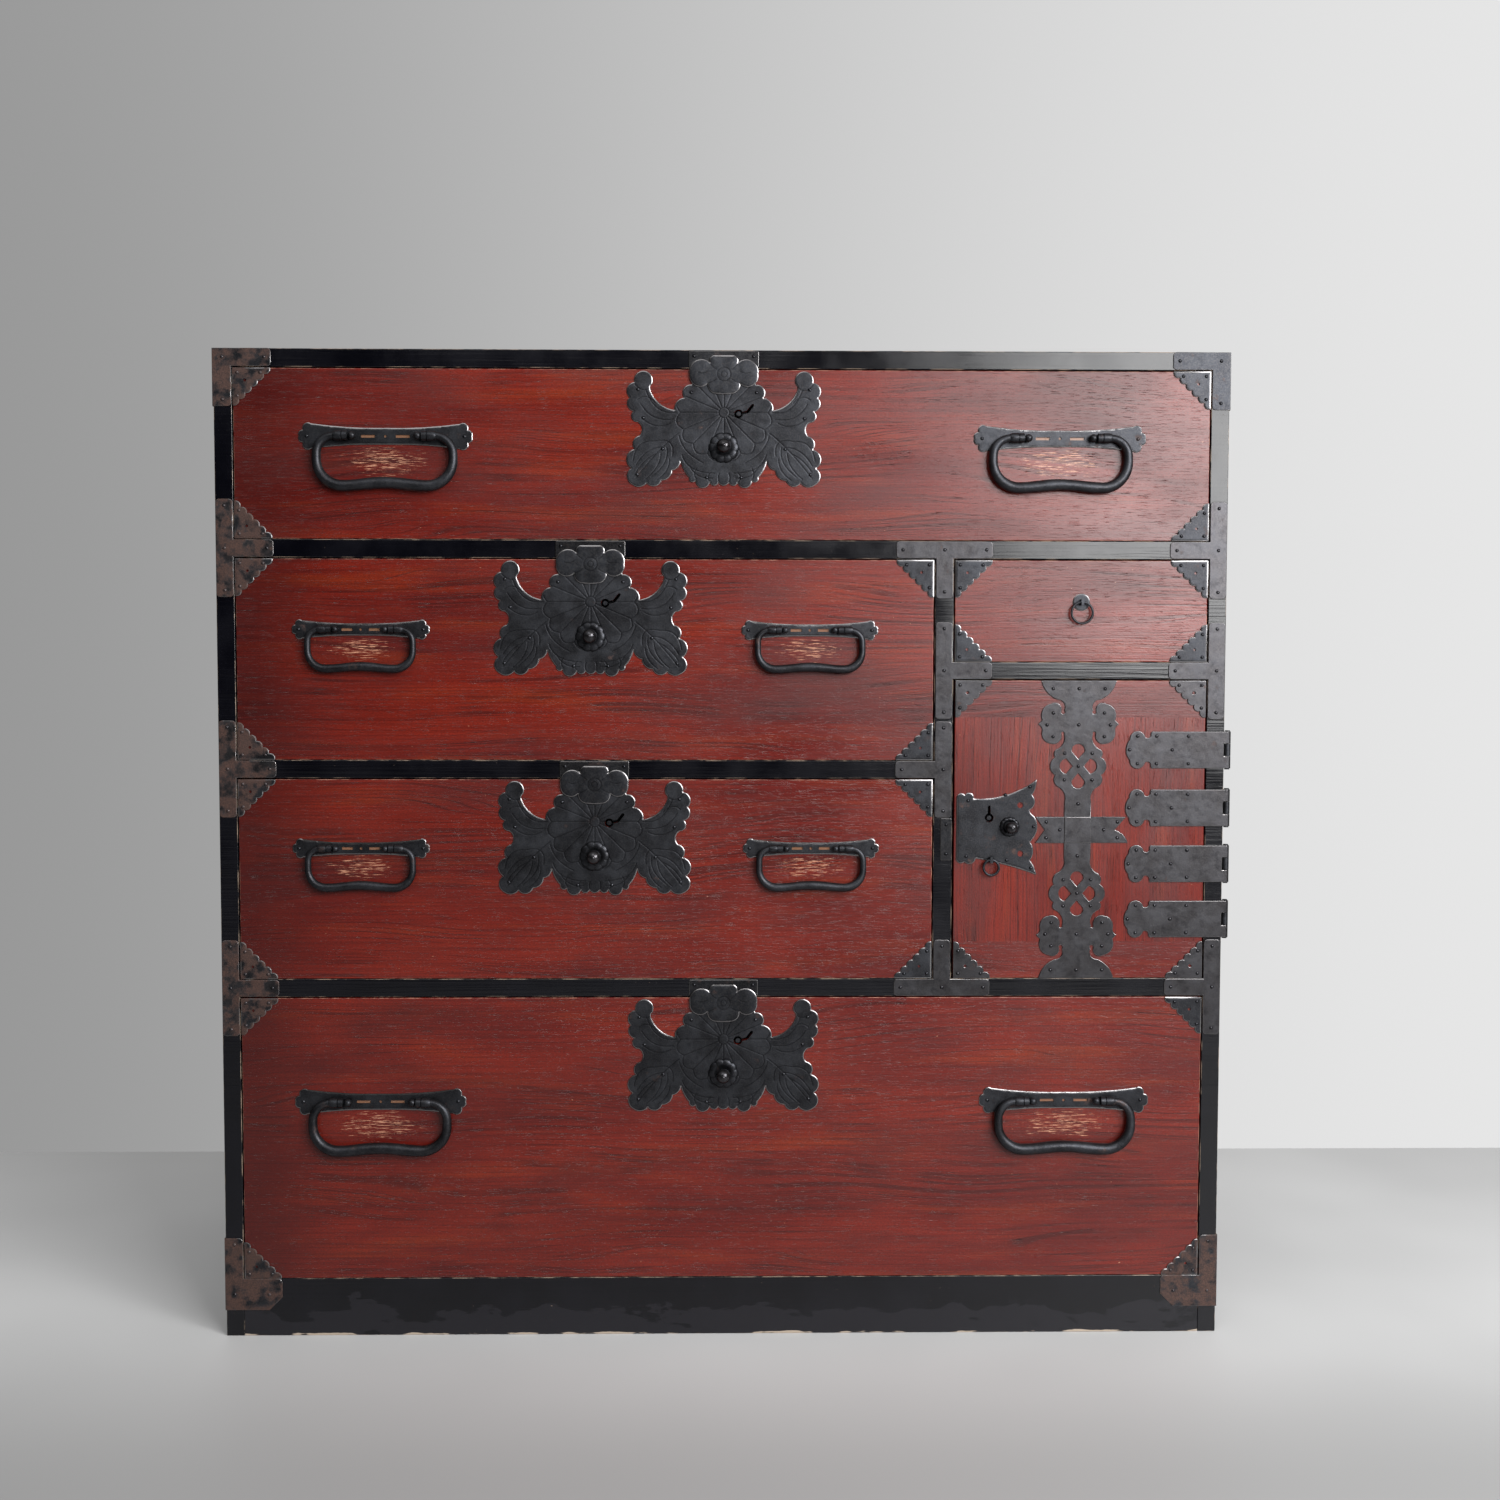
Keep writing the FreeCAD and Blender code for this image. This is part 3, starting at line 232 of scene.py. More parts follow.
def outward(points, faces, marks=None):
    """A closed shell with its faces turned outwards."""
    work = bmesh.new()
    mesh = bpy.data.meshes.new("turning")
    mesh.from_pydata(np.asarray(points).tolist(), [], faces)
    work.from_mesh(mesh)
    bmesh.ops.recalc_face_normals(work, faces=work.faces)
    turned_faces = [[vertex.index for vertex in face.verts] for face in work.faces]
    work.free()
    bpy.data.meshes.remove(mesh)
    return np.asarray(points), turned_faces, marks or {}


def tube(path, radius, sides):
    """A round bar along a path in an upright plane. A ring of points stands round each path point p, at
    p + r (cos a * y + sin a * b), where b is square to the path and to y; fans close the ends."""
    step = np.gradient(path, axis=0)
    along = step / np.linalg.norm(step, axis=1, keepdims=True)
    depth = np.array((0.0, 1.0, 0.0))
    across = np.cross(along, depth)
    turn = np.linspace(0, 2 * pi, sides, endpoint=False)[None, :, None]
    ring = np.cos(turn) * depth + np.sin(turn) * across[:, None]
    points = (path[:, None] + radius[:, None, None] * ring).reshape(-1, 3)
    faces = grid_faces(len(path), sides)
    last = len(path) * sides
    points = np.concatenate([points, path[:1], path[-1:]])
    for side in range(sides):
        after = (side + 1) % sides
        faces.append([last, after, side])
        faces.append([last + 1, last - sides + side, last - sides + after])
    return outward(points, faces)


def turned(start, direction, profile, sides):
    """A turned piece: a profile, whose rows are a distance along the axis and a radius, swept round it."""
    axis = Vector(direction).normalized()
    side = axis.orthogonal().normalized()
    other = axis.cross(side)
    rows = np.asarray(profile, float)
    turn = np.linspace(0, 2 * pi, sides, endpoint=False)[:, None]
    ring = np.cos(turn) * np.array(side) + np.sin(turn) * np.array(other)
    points = np.asarray(start) + rows[:, :1, None] * np.array(axis) + rows[:, 1:, None] * ring
    points = points.reshape(-1, 3)
    faces = grid_faces(len(rows), sides)
    faces.append(list(range(sides)))
    faces.append(list(range(len(points) - sides, len(points))))
    return outward(points, faces)


# Solids and outlines read from the frame

def joined(count, groups):
    """A label for each point, shared by all points that the groups join: each point takes the lowest
    label in its groups until no label changes."""
    label = np.arange(count)
    while True:
        lower = label.copy()
        np.minimum.at(lower, groups.ravel(), np.repeat(label[groups].min(axis=1), groups.shape[1]))
        lower = lower[lower]
        if (lower == label).all():
            return label
        label = lower


def solids_of(node):
    """The separate solids of a node, each as its points in mm and its triangles."""
    mesh = frame["nodes"][node].data
    places = np.round(values_of(mesh.vertices, "co", 3) / mm, 3)
    points, index = np.unique(places, axis=0, return_inverse=True)
    triangles = index.ravel()[values_of(mesh.loops, "vertex_index", kind=int)].reshape(-1, 3)
    triangles = triangles[(triangles != np.roll(triangles, 1, axis=1)).all(axis=1)]
    label = joined(len(points), triangles)
    solids = []
    for mark in np.unique(label[triangles[:, 0]]):
        own = triangles[label[triangles[:, 0]] == mark]
        used, again = np.unique(own, return_inverse=True)
        solids.append((points[used], again.reshape(-1, 3)))
    return solids


def spread(solid):
    """Length of a solid along x, y and z."""
    return np.ptp(solid[0], axis=0)


def open_edges(triangles):
    """The edges that only one triangle has: for each point on them, the next one."""
    both = {tuple(edge) for edge in triangles[:, [0, 1, 1, 2, 2, 0]].reshape(-1, 2).tolist()}
    return {a: b for a, b in both if (b, a) not in both}


def at_level(solid, level):
    """Which triangles of a solid lie flat at a level of y."""
    points, triangles = solid
    return (np.abs(points[triangles][:, :, 1] - level) < level_margin).all(axis=1)


def front_loops(solid, level=None):
    """Closed outlines, in x and z, of the flat faces at a level of a solid, or else at its front."""
    points, triangles = solid
    level = points[:, 1].min() if level is None else level
    follow = open_edges(triangles[at_level(solid, level)])
    loops = []
    while follow:
        first = next(iter(follow))
        loop = [first]
        here = follow.pop(first)
        while here != first:
            loop.append(here)
            here = follow.pop(here)
        loops.append(points[loop][:, [0, 2]])
    return loops


def inside(loops, places):
    """Which places lie inside the loops, by counting the edges that a line to the right crosses."""
    odd = np.zeros(len(places), bool)
    for loop in loops:
        for part in np.array_split(np.arange(len(loop)), max(1, len(loop) // rows_at_once)):
            near, far = loop[part], loop[(part + 1) % len(loop)]
            beside = (near[:, 1] > places[:, 1:]) != (far[:, 1] > places[:, 1:])
            rise = np.where(near[:, 1] == far[:, 1], 1e-9, far[:, 1] - near[:, 1])
            cross = near[:, 0] + (places[:, 1:] - near[:, 1]) / rise * (far[:, 0] - near[:, 0])
            odd ^= (beside & (places[:, :1] < cross)).sum(axis=1) % 2 == 1
    return odd


def line_distance(places, line):
    """Least distance from each place to a line through a row of points."""
    least = np.full(len(places), 1e9)
    line = np.asarray(line, float)
    for part in np.array_split(np.arange(len(line) - 1), max(1, len(line) // rows_at_once)):
        start = line[part]
        step = line[part + 1] - start
        away = places[:, None] - start
        share = np.clip((away * step).sum(axis=2) / np.maximum((step ** 2).sum(axis=1), 1e-9), 0, 1)
        gap = np.linalg.norm(away - share[..., None] * step, axis=2)
        least = np.minimum(least, gap.min(axis=1))
    return least


def rim_distance(places, rings):
    """Least distance from each place to the nearest of some lines."""
    return np.min([line_distance(places, ring) for ring in rings], axis=0)


def triangulated(places, edges, loops, merge):
    """Corners and triangles of a triangulation that holds the edges, kept inside the loops."""
    result = delaunay_2d_cdt([Vector(place) for place in places.tolist()], edges, [], 0, merge)
    flat = np.array([tuple(place) for place in result[0]])
    triangles = np.array(result[2])
    return flat, triangles[inside(loops, flat[triangles].mean(axis=1))]


def face_places(loops, rings, pitch):
    """Places for a plate's face: its outline, two rows just inside the rim and a staggered grid."""
    low = np.min([loop.min(axis=0) for loop in loops], axis=0)
    high = np.max([loop.max(axis=0) for loop in loops], axis=0)
    rows = np.arange(low[1], high[1], pitch * 0.87)
    columns = np.arange(low[0], high[0], pitch)
    x, z = np.meshgrid(columns, rows)
    x = x + (np.arange(len(rows)) % 2)[:, None] * pitch / 2
    grid = np.stack([x.ravel(), z.ravel()], axis=1)
    grid = grid[(rim_distance(grid, rings) > plate_edge * 1.25) & inside(loops, grid)]
    shoulders = []
    for loop in loops:
        along = np.roll(loop, -1, axis=0) - np.roll(loop, 1, axis=0)
        along /= np.maximum(np.linalg.norm(along, axis=1, keepdims=True), 1e-9)
        for side in (-1, 1):
            for inset in (plate_edge * 0.5, plate_edge):
                shoulders.append(loop + side * inset * np.stack([along[:, 1], -along[:, 0]], axis=1))
    shoulders = np.concatenate(shoulders)
    shoulders = shoulders[(rim_distance(shoulders, rings) > plate_edge * 0.35) & inside(loops, shoulders)]
    return np.concatenate([*loops, shoulders, grid])


def worked_plate(loops, back, front, pitch, cuts=(), swell=None, depth=cut_depth):
    """A plate between two levels of y, with a filed rim and engraved lines. A point of its face stands
    back by drop * (1 - distance / edge) near the rim and by depth * exp(-(distance / half width)^2) near
    a line, and swell(places, distance to the rim) raises it. The outline stays as it is."""
    rings = [np.concatenate([loop, loop[:1]]) for loop in loops]
    edges = []
    start = 0
    for loop in loops:
        edges.extend([(start + i, start + (i + 1) % len(loop)) for i in range(len(loop))])
        start += len(loop)
    flat, triangles = triangulated(face_places(loops, rings, pitch), edges, loops, 1e-4)
    used, again = np.unique(triangles, return_inverse=True)
    flat = flat[used]
    triangles = again.reshape(-1, 3)

    rim = line_distance(flat, max(rings, key=lambda ring: np.ptp(ring[:, 0])))
    near = np.clip(1 - rim / plate_edge, 0, 1)
    groove = np.zeros(len(flat))
    for line in cuts:
        groove = np.maximum(groove, np.exp(-(line_distance(flat, line) / cut_half_width) ** 2))
    groove *= rim > plate_edge
    raised = swell(flat, rim) if swell else 0
    level = front + plate_edge_drop * near + depth * groove - raised
    face_points = np.stack([flat[:, 0], level, flat[:, 1]], axis=1)

    boundary = open_edges(triangles)
    order = {point: i for i, point in enumerate(boundary)}
    ring = list(boundary)
    back_points = np.insert(flat[ring], 1, back, axis=1)
    rear_edges = [(order[a], order[b]) for a, b in boundary.items()]
    rear_flat, rear_triangles = triangulated(flat[ring], rear_edges, loops, 1e-6)
    faces = triangles.tolist()
    faces.extend([[b, a, len(flat) + order[a], len(flat) + order[b]] for a, b in boundary.items()])
    if len(rear_flat) == len(ring):
        faces.extend((rear_triangles + len(flat)).tolist())
    marks = {
        "groove": np.concatenate([groove, np.zeros(len(ring))]),
        "rim": np.concatenate([near, near[ring]]),
    }
    return outward(np.concatenate([face_points, back_points]), faces, marks)


def eased(name, node, width, choose, finish):
    """A node's solids with its chosen edges rounded over, and a point value that marks the rounding."""
    work = bmesh.new()
    work.from_mesh(frame["nodes"][node].data)
    bmesh.ops.remove_doubles(work, verts=work.verts, dist=merge_distance * mm)
    bmesh.ops.dissolve_limit(work, angle_limit=radians(0.4), verts=work.verts, edges=work.edges)
    edges = [edge for edge in work.edges if len(edge.link_faces) == 2 and choose(edge)]
    made = bmesh.ops.bevel(
        work, geom=edges, offset=width * mm, offset_type="OFFSET", segments=2, profile=0.5,
        affect="EDGES", clamp_overlap=False,
    )
    fresh = set(made["faces"])
    worn = [all(face in fresh for face in vertex.link_faces) for vertex in work.verts]
    mesh = bpy.data.meshes.new(name)
    work.to_mesh(mesh)
    work.free()
    mark_points(mesh, "rim", worn)
    mark_points(mesh, "nail", small_parts(mesh))
    return placed(name, mesh, node, finish)


def small_parts(mesh):
    """1 for the points of separate parts as small as a nail head, else 0."""
    places = values_of(mesh.vertices, "co", 3) / mm
    label = joined(len(places), values_of(mesh.edges, "vertices", 2, int))
    low = np.full(places.shape, 1e9)
    high = -low
    np.minimum.at(low, label, places)
    np.maximum.at(high, label, places)
    return ((high - low).max(axis=1) < nail_size)[label]


def board_edges(edge):
    """The long sharp edges of a board."""
    return edge.is_convex and edge.calc_face_angle() > radians(60) and edge.calc_length() > 14 * mm


def plate_rims(edge):
    """The edges between a plate's front and its sides."""
    turn = sorted(abs(face.normal.y) for face in edge.link_faces)
    return edge.is_convex and turn[0] < 0.1 and turn[1] > 0.99


# Materials

def colour(code):
    """An sRGB hex value as linear red, green, blue and alpha."""
    channels = np.array([int(code[i:i + 2], 16) for i in (1, 3, 5)]) / 255
    linear = np.where(channels <= 0.04045, channels / 12.92, ((channels + 0.055) / 1.055) ** 2.4)
    return (*linear.tolist(), 1.0)


# Kinds of shader node under a plain name: Blender's kind, its sockets in the order of their values, its
# output and its settings. Any other name is that of an arithmetic operation.
node_kinds = {
    "place": ("ShaderNodeTexCoord", (), "Object", {}),
    "mark": ("ShaderNodeAttribute", (), "Fac", {}),
    "split": ("ShaderNodeSeparateXYZ", ("Vector",), None, {}),
    "stretch": ("ShaderNodeMapping", ("Vector", "Scale"), "Vector", {}),
    "noise": ("ShaderNodeTexNoise", ("Vector", "Scale", "Detail", "Roughness"), "Fac", {}),
    "lines": ("ShaderNodeTexNoise", ("W", "Scale", "Detail", "Roughness"), "Fac",
              {"noise_dimensions": "1D"}),
    "range": ("ShaderNodeMapRange", ("Value", "From Min", "From Max", "To Min", "To Max"), "Result",
              {"interpolation_type": "SMOOTHSTEP"}),
    "mix": ("ShaderNodeMix", ("Factor", 6, 7), 2, {"data_type": "RGBA"}),
    "blend": ("ShaderNodeMix", ("Factor", 2, 3), 0, {}),
    "relief": ("ShaderNodeBump", ("Height", "Distance"), "Normal", {}),
    "seen": ("ShaderNodeLightPath", (), "Is Camera Ray", {}),
    "direction": ("ShaderNodeTexCoord", (), "Generated", {}),
}


def wire(node, sockets):
    """Sets a node's sockets. Each takes a number, a colour's hex code, or another node's output."""
    for name, value in sockets.items():
        if isinstance(value, bpy.types.NodeSocket):
            node.id_data.links.new(value, node.inputs[name])
        else:
            node.inputs[name].default_value = colour(value) if isinstance(value, str) else value


def adder(tree):
    """A function that adds nodes to a tree."""
    def add(kind, *values, **settings):
        """Adds a node with its settings and links, and gives its output, or all of them for a split."""
        arithmetic = ("ShaderNodeMath", (0, 1, 2), 0, {"operation": kind})
        maker, sockets, output, fixed = node_kinds.get(kind, arithmetic)
        node = tree.nodes.new(maker)
        for name, value in {**fixed, **settings}.items():
            setattr(node, name, value)
        wire(node, dict(zip(sockets, values)))
        return node.outputs if output is None else node.outputs[output]

    return add


def surface(name):
    """A new material, its shader, its adder, and the place in the object's own coordinates."""
    material = bpy.data.materials.new(name)
    material.use_nodes = True
    add = adder(material.node_tree)
    return material, material.node_tree.nodes["Principled BSDF"], add, add("place")


def noise(add, place, size, detail=3.0, rough=0.55, upright=False):
    """Irregular value from 0 to 1 whose grain has a size in mm along x, y and z, or z, y and x where
    the boards are upright."""
    size = size[::-1] if upright else size
    scaled = add("stretch", place, tuple(1 / (length * mm) for length in size))
    return add("noise", scaled, 1.0, detail, rough)


def growth_rings(add, place, upright):
    """Lines of plain-sawn boards: the height across the grain, shifted by a slow noise, drives a noise in
    one dimension, so that the lines run along the grain, wander and close in long arches."""
    split = add("split", place)
    across = split["X" if upright else "Z"]
    slow = noise(add, place, (420, 300, 70), 1.5, 0.4, upright)
    level = add("MULTIPLY_ADD", slow, 0.085, across)
    return add("lines", level, growth_lines, 2.5, 0.6)


def nearness(add, split, centre_x, centre_z, half_width, half_height):
    """1 in the middle of an ellipse on the front, given in mm, and 0 a little outside it."""
    off_x = add("DIVIDE", add("SUBTRACT", split["X"], centre_x * mm), half_width * mm)
    off_z = add("DIVIDE", add("SUBTRACT", split["Z"], centre_z * mm), half_height * mm)
    square = add("ADD", add("POWER", off_x, 2.0), add("POWER", off_z, 2.0))
    return add("range", square, 0.0, 1.3, 1.0, 0.0)


def red_lacquer(name, upright=False, worn_at=(), bare_at=()):
    """Thin red lacquer wiped over open-grained softwood, rubbed by hands: it deepens in the grain, turns
    orange where it is thin, and leaves a soft gloss. worn_at lists places, in mm, where a bail has beaten
    through to paler wood, and bare_at the strips behind the slots of bail plates, where the lacquer is
    gone."""
    material, shader, add, place = surface(name)
    rings = growth_rings(add, place, upright)
    pores = noise(add, place, (18, 9, 0.7), 2.0, 0.6, upright)
    fibres = noise(add, place, (160, 20, 1.8), upright=upright)
    clouds = noise(add, place, (260, 150, 90), upright=upright)
    thin = noise(add, place, (240, 200, 24), upright=upright)
    dirt = noise(add, place, (260, 150, 80), 5.0, 0.6, upright)

    tone = add("mix", add("range", clouds, 0.35, 0.65), "#5a130d", "#711d10")
    tone = add("mix", add("range", thin, 0.50, 0.75, 0.0, 0.5), tone, "#87300f")
    tone = add("mix", add("range", dirt, 0.48, 0.70, 0.0, 0.6), tone, "#3d0d0c")
    ridge = add("ABSOLUTE", add("SUBTRACT", rings, 0.5))
    presence = add("range", noise(add, place, (110, 90, 60), 2.0), 0.42, 0.6, 0.12, 0.75)
    line = add("MULTIPLY", add("range", ridge, 0.005, 0.05, 1.0, 0.0), presence)
    tone = add("mix", add("MULTIPLY", line, 0.85), tone, "#300b0a")
    tone = add("mix", add("range", fibres, 0.30, 0.62, 0.5, 0.0), tone, "#3a0c0a")
    fleck = noise(add, place, (2.4, 3, 1.1), 3.0, 0.7, upright)
    tone = add("mix", add("range", fleck, 0.35, 0.60, 0.38, 0.0), tone, "#2a0a09")
    dark_pores = add("range", pores, 0.58, 0.68)
    dark_pores = add("MULTIPLY", dark_pores, add("ADD", line, 0.45))
    tone = add("mix", add("MULTIPLY", dark_pores, 0.85), tone, "#180706")

    scratches = noise(add, place, (5, 40, 0.9) if upright else (1.0, 40, 6), 2.0)
    specks = noise(add, place, (4.5, 40, 2.2), 2.0, 0.6)
    seldom = noise(add, place, (90, 90, 60), 1.0)
    chance = add("range", seldom, 0.5, 0.6)
    marks = add("MULTIPLY", add("range", specks, 0.715, 0.76), chance)
    tone = add("mix", add("MULTIPLY", marks, 0.8), tone, "#b98a6c")
    chance = add("range", seldom, 0.55, 0.65)
    scuffs = add("MULTIPLY", add("range", scratches, 0.70, 0.76), chance)
    tone = add("mix", add("MULTIPLY", scuffs, 0.35), tone, "#c09070")

    split = add("split", place)
    for spot in worn_at:
        near = nearness(add, split, *spot)
        rubbed = noise(add, place, (17, 40, 1.3), 4.0, 0.7)
        patch = add("range", add("MULTIPLY_ADD", near, 0.16, rubbed), 0.66, 0.77)
        patch = add("MULTIPLY", patch, add("range", near, 0.02, 0.25))
        tone = add("mix", add("MULTIPLY", patch, 0.8), tone, "#c08c70")
    for strip in bare_at:
        near = nearness(add, split, *strip)
        tone = add("mix", add("range", near, 0.35, 0.5, 0.0, 0.6), tone, "#8a6a50")

    # Painted shade: the red darkens toward the chest's left edge, where less light falls on it
    toward_left = add("ADD", split["X"], add("MULTIPLY", dirt, 0.06))
    painted_left_shade = add("range", toward_left, *left_shade_span, 0.62, 0.0)
    tone = add("mix", painted_left_shade, tone, "#2c0808")
    rim = add("mark", attribute_name="rim")
    ragged = noise(add, place, (14, 14, 14))
    chipped = add("MULTIPLY", rim, add("range", ragged, 0.42, 0.62))
    tone = add("mix", add("MULTIPLY", chipped, 0.75), tone, "#b98a74")
    behind = add("range", split["Y"], *front_lacquered)
    tone = add("mix", behind, tone, plain_tone(add, place, upright))

    grip = add("range", dirt, 0.3, 0.7, 0.25, 0.38)
    gloss = add("blend", behind, grip, 0.75)
    height = add("MULTIPLY_ADD", dark_pores, -0.8, add("MULTIPLY", fibres, 0.6))
    height = add("MULTIPLY_ADD", line, -0.25, height)
    relief = add("relief", height, 0.18 * mm)
    wire(shader, {"Base Color": tone, "Roughness": gloss, "IOR": 1.46, "Normal": relief})
    return material


def plain_tone(add, place, upright=False):
    """Colour of planed, unfinished wood that has yellowed and gathered dust."""
    lines = noise(add, place, (260, 60, 3.2), upright=upright)
    tone = add("mix", add("range", lines, 0.3, 0.7), "#ab8a5f", "#8c6a44")
    stain = noise(add, place, (120, 120, 120))
    return add("mix", add("range", stain, 0.45, 0.75, 0.0, 0.5), tone, "#6f5236")


def plain_wood(name, upright=False):
    """Planed paulownia inside the chest: matt, with long growth lines."""
    material, shader, add, place = surface(name)
    planed = noise(add, place, (60, 60, 1.2), 2.0, upright=upright)
    relief = add("relief", planed, 0.12 * mm)
    wire(shader, {"Base Color": plain_tone(add, place, upright), "Roughness": 0.72, "Normal": relief})
    return material


def black_lacquer(name, worn_foot=False):
    """Black lacquer on the case's front and outside: semi-gloss, a little blue, chipped to brown wood
    along its edges, and with worn_foot rubbed grey in patches near the floor. Inside the case the boards
    are left plain."""
    material, shader, add, place = surface(name)
    clouds = noise(add, place, (60, 60, 60), 4.0)
    tone = add("mix", add("range", clouds, 0.35, 0.7), "#030307", "#07070d")
    brushed = noise(add, place, (120, 120, 2.5), 2.0)
    tone = add("mix", add("range", brushed, 0.62, 0.8, 0.0, 0.15), tone, "#1d1a1b")
    split = add("split", place)
    if worn_foot:
        ragged = noise(add, place, (70, 60, 26), 4.0, 0.6)
        height = add("range", split["Z"], *rubbed_foot, 0.18, -0.14)
        patch = add("range", add("ADD", ragged, height), 0.55, 0.58)
        tone = add("mix", add("MULTIPLY", patch, 0.75), tone, "#19181d")
        foot = add("range", split["Z"], *bare_foot, 0.24, -0.2)
        chafed = add("ADD", noise(add, place, (45, 30, 8)), foot)
        bare = add("range", chafed, 0.73, 0.78)
        tone = add("mix", bare, tone, "#a09283")
    chips = noise(add, place, (5, 5, 3), 3.0, 0.6)
    seldom = noise(add, place, (70, 70, 50), 2.0)
    chance = add("range", seldom, 0.5, 0.62)
    spots = add("MULTIPLY", add("range", chips, 0.70, 0.74), chance)
    tone = add("mix", add("MULTIPLY", spots, 0.75), tone, "#7c6655")
    rim = add("mark", attribute_name="rim")
    ragged = noise(add, place, (22, 22, 22), 4.0)
    rubbed = add("MULTIPLY", rim, add("range", ragged, 0.45, 0.62))
    tone = add("mix", add("MULTIPLY", rubbed, 0.85), tone, "#a08c7a")

    within = add("LESS_THAN", add("ABSOLUTE", split["X"]), inside_half_width)
    behind = add("range", split["Y"], *rail_lacquered)
    below = add("LESS_THAN", split["Z"], inside_top)
    hidden = add("MULTIPLY", add("MULTIPLY", within, behind), below)
    tone = add("mix", hidden, tone, plain_tone(add, place))
    gloss = add("blend", hidden, add("range", clouds, 0.3, 0.7, 0.16, 0.27), 0.75)
    height = add("ADD", brushed, add("MULTIPLY", spots, -0.8))
    relief = add("relief", height, 0.22 * mm)
    wire(shader, {"Base Color": tone, "Roughness": gloss, "IOR": 1.42, "Normal": relief})
    return material


def forged_iron(name, rust=0.0, bright=0.0, grip=0.0):
    """Wrought iron, hammered flat, blackened over a fire and oiled: dark blue-grey with a soft sheen,
    paler on its rims, partly as rubbed metal and partly as a painted highlight, and dark in engraved lines.
    rust is the share of brown patina on it, which is heavier where the chest stood damp: at its left edge
    and near the floor. bright is the share by which it is polished, or below 0 sooted, and grip is added
    to its roughness."""
    material, shader, add, place = surface(name)
    clouds = noise(add, place, (26, 26, 26), 4.0, 0.6)
    tone = add("mix", add("range", clouds, 0.3, 0.72), "#222327", "#33353a")
    tone = add("mix", abs(bright), tone, "#7d7573" if bright > 0 else "#0c0c0e")
    grain = noise(add, place, (1.4, 1.4, 1.4), 3.0, 0.7)
    tone = add("mix", add("range", grain, 0.35, 0.75, 0.0, 0.35), tone, "#545251")
    soot = noise(add, place, (8, 8, 8), 4.0, 0.65)
    tone = add("mix", add("range", soot, 0.45, 0.75, 0.0, 0.5), tone, "#18181b")
    rusty = noise(add, place, (16, 16, 16), 4.0, 0.6)
    brown = add("mix", add("range", grain, 0.3, 0.7), "#352723", "#523a32")
    split = add("split", place)
    edge = add("range", split["X"], *damp_side, 0.25, 0.0)
    foot = add("range", split["Z"], *damp_foot, 0.24, 0.0)
    damp = add("MAXIMUM", edge, foot)
    rusty = add("ADD", rusty, damp)
    rust_share = add("range", rusty, 0.66 - 0.5 * rust, 0.86 - 0.5 * rust, 0.0, 0.95)
    tone = add("mix", rust_share, tone, brown)
    # Pale rims: partly rubbed metal and partly a painted highlight, laid on every rim alike
    rim = add("range", add("mark", attribute_name="rim"), 0.05, 0.6)
    rim = add("MULTIPLY", rim, add("SUBTRACT", 1.0, rust_share))
    tone = add("mix", add("MULTIPLY", rim, 0.6), tone, "#8f8c8c")
    nail = add("mark", attribute_name="nail")
    tone = add("mix", add("MULTIPLY", nail, 0.5), tone, "#2b2b2f")
    groove = add("mark", attribute_name="groove")
    tone = add("mix", add("MULTIPLY", groove, 0.7), tone, "#0b0b0d")
    metallic = add("SUBTRACT", 0.92, add("MULTIPLY", rust_share, 0.6))
    smooth = add("MAXIMUM", nail, rim)
    coarse = add("MULTIPLY_ADD", smooth, -0.22, add("range", clouds, 0.3, 0.75, 0.40, 0.50))
    coarse = add("ADD", add("MULTIPLY_ADD", rust_share, 0.2, coarse), grip)
    hammered = noise(add, place, (13, 13, 13), 2.0)
    relief = add("relief", add("MULTIPLY_ADD", grain, 0.16, hammered), 0.28 * mm)
    wire(shader, {"Base Color": tone, "Metallic": metallic, "Roughness": coarse, "Normal": relief})
    return material


# Engraving of a lock plate, about the centre of its rays, for its right half

def arc_points(first, middle, last, count=9):
    """A smooth stretch through three points, by a quadratic curve that passes the middle one halfway."""
    share = np.linspace(0, 1, count)[:, None]
    first, middle, last = (np.array(place, float) for place in (first, middle, last))
    pull = 2 * middle - (first + last) / 2
    return (1 - share) ** 2 * first + 2 * share * (1 - share) * pull + share ** 2 * last


def lock_engraving():
    """Rays and petal ends of the round body, barbs of the wings, veins of the leaves and curls of the
    skirt. Rays are straight; every other line is a short curve."""
    lines = []
    half = pi / ray_count
    for ray in range(ray_count):
        turn = 2 * half * ray
        direction = np.array((cos(turn), sin(turn)))
        lines.append(np.array((ray_start * direction, petal_valley * direction)))
        middle = petal_tip * np.array((cos(turn + half), sin(turn + half)))
        next_ray = np.array((cos(turn + 2 * half), sin(turn + 2 * half)))
        lines.append(arc_points(petal_valley * direction, middle, petal_valley * next_ray))
    circle = np.linspace(0, 2 * pi, 17)
    lines.append(ray_start * np.stack([np.cos(circle), np.sin(circle)], axis=1))
    wing = (
        ((50, 0), (69, 4), (82, 24)),
        ((53, -7), (73, -5), (87, 9)),
        ((56, -11), (71, -14), (86, -6)),
        ((72, 10), (81, 16), (90, 13)),
        ((76, 27), (84, 23), (93, 29)),
    )
    leaf = (
        ((47, -21), (68, -40), (92, -68)),
        ((54, -45), (57, -31), (73, -30)),
        ((73, -30), (88, -34), (95, -50)),
        ((57, -48), (60, -60), (70, -70)),
        ((60, -36), (62, -52), (76, -67)),
        ((66, -42), (70, -56), (82, -69)),
        ((64, -36), (80, -41), (92, -55)),
        ((71, -43), (82, -50), (92, -62)),
    )
    skirt = (
        ((47, -24), (39, -40), (22, -52)),
        ((44, -44), (33, -58), (10, -63)),
        ((36, -56), (26, -66), (12, -68)),
        ((5, -63), (6, -68), (5, -73)),
        ((14, -62), (17, -67), (15, -71)),
        ((29, -58), (31, -64), (29, -69)),
    )
    for rows in wing + leaf + skirt:
        right = arc_points(*rows)
        lines.append(right)
        lines.append(right * (-1, 1))
    return lines


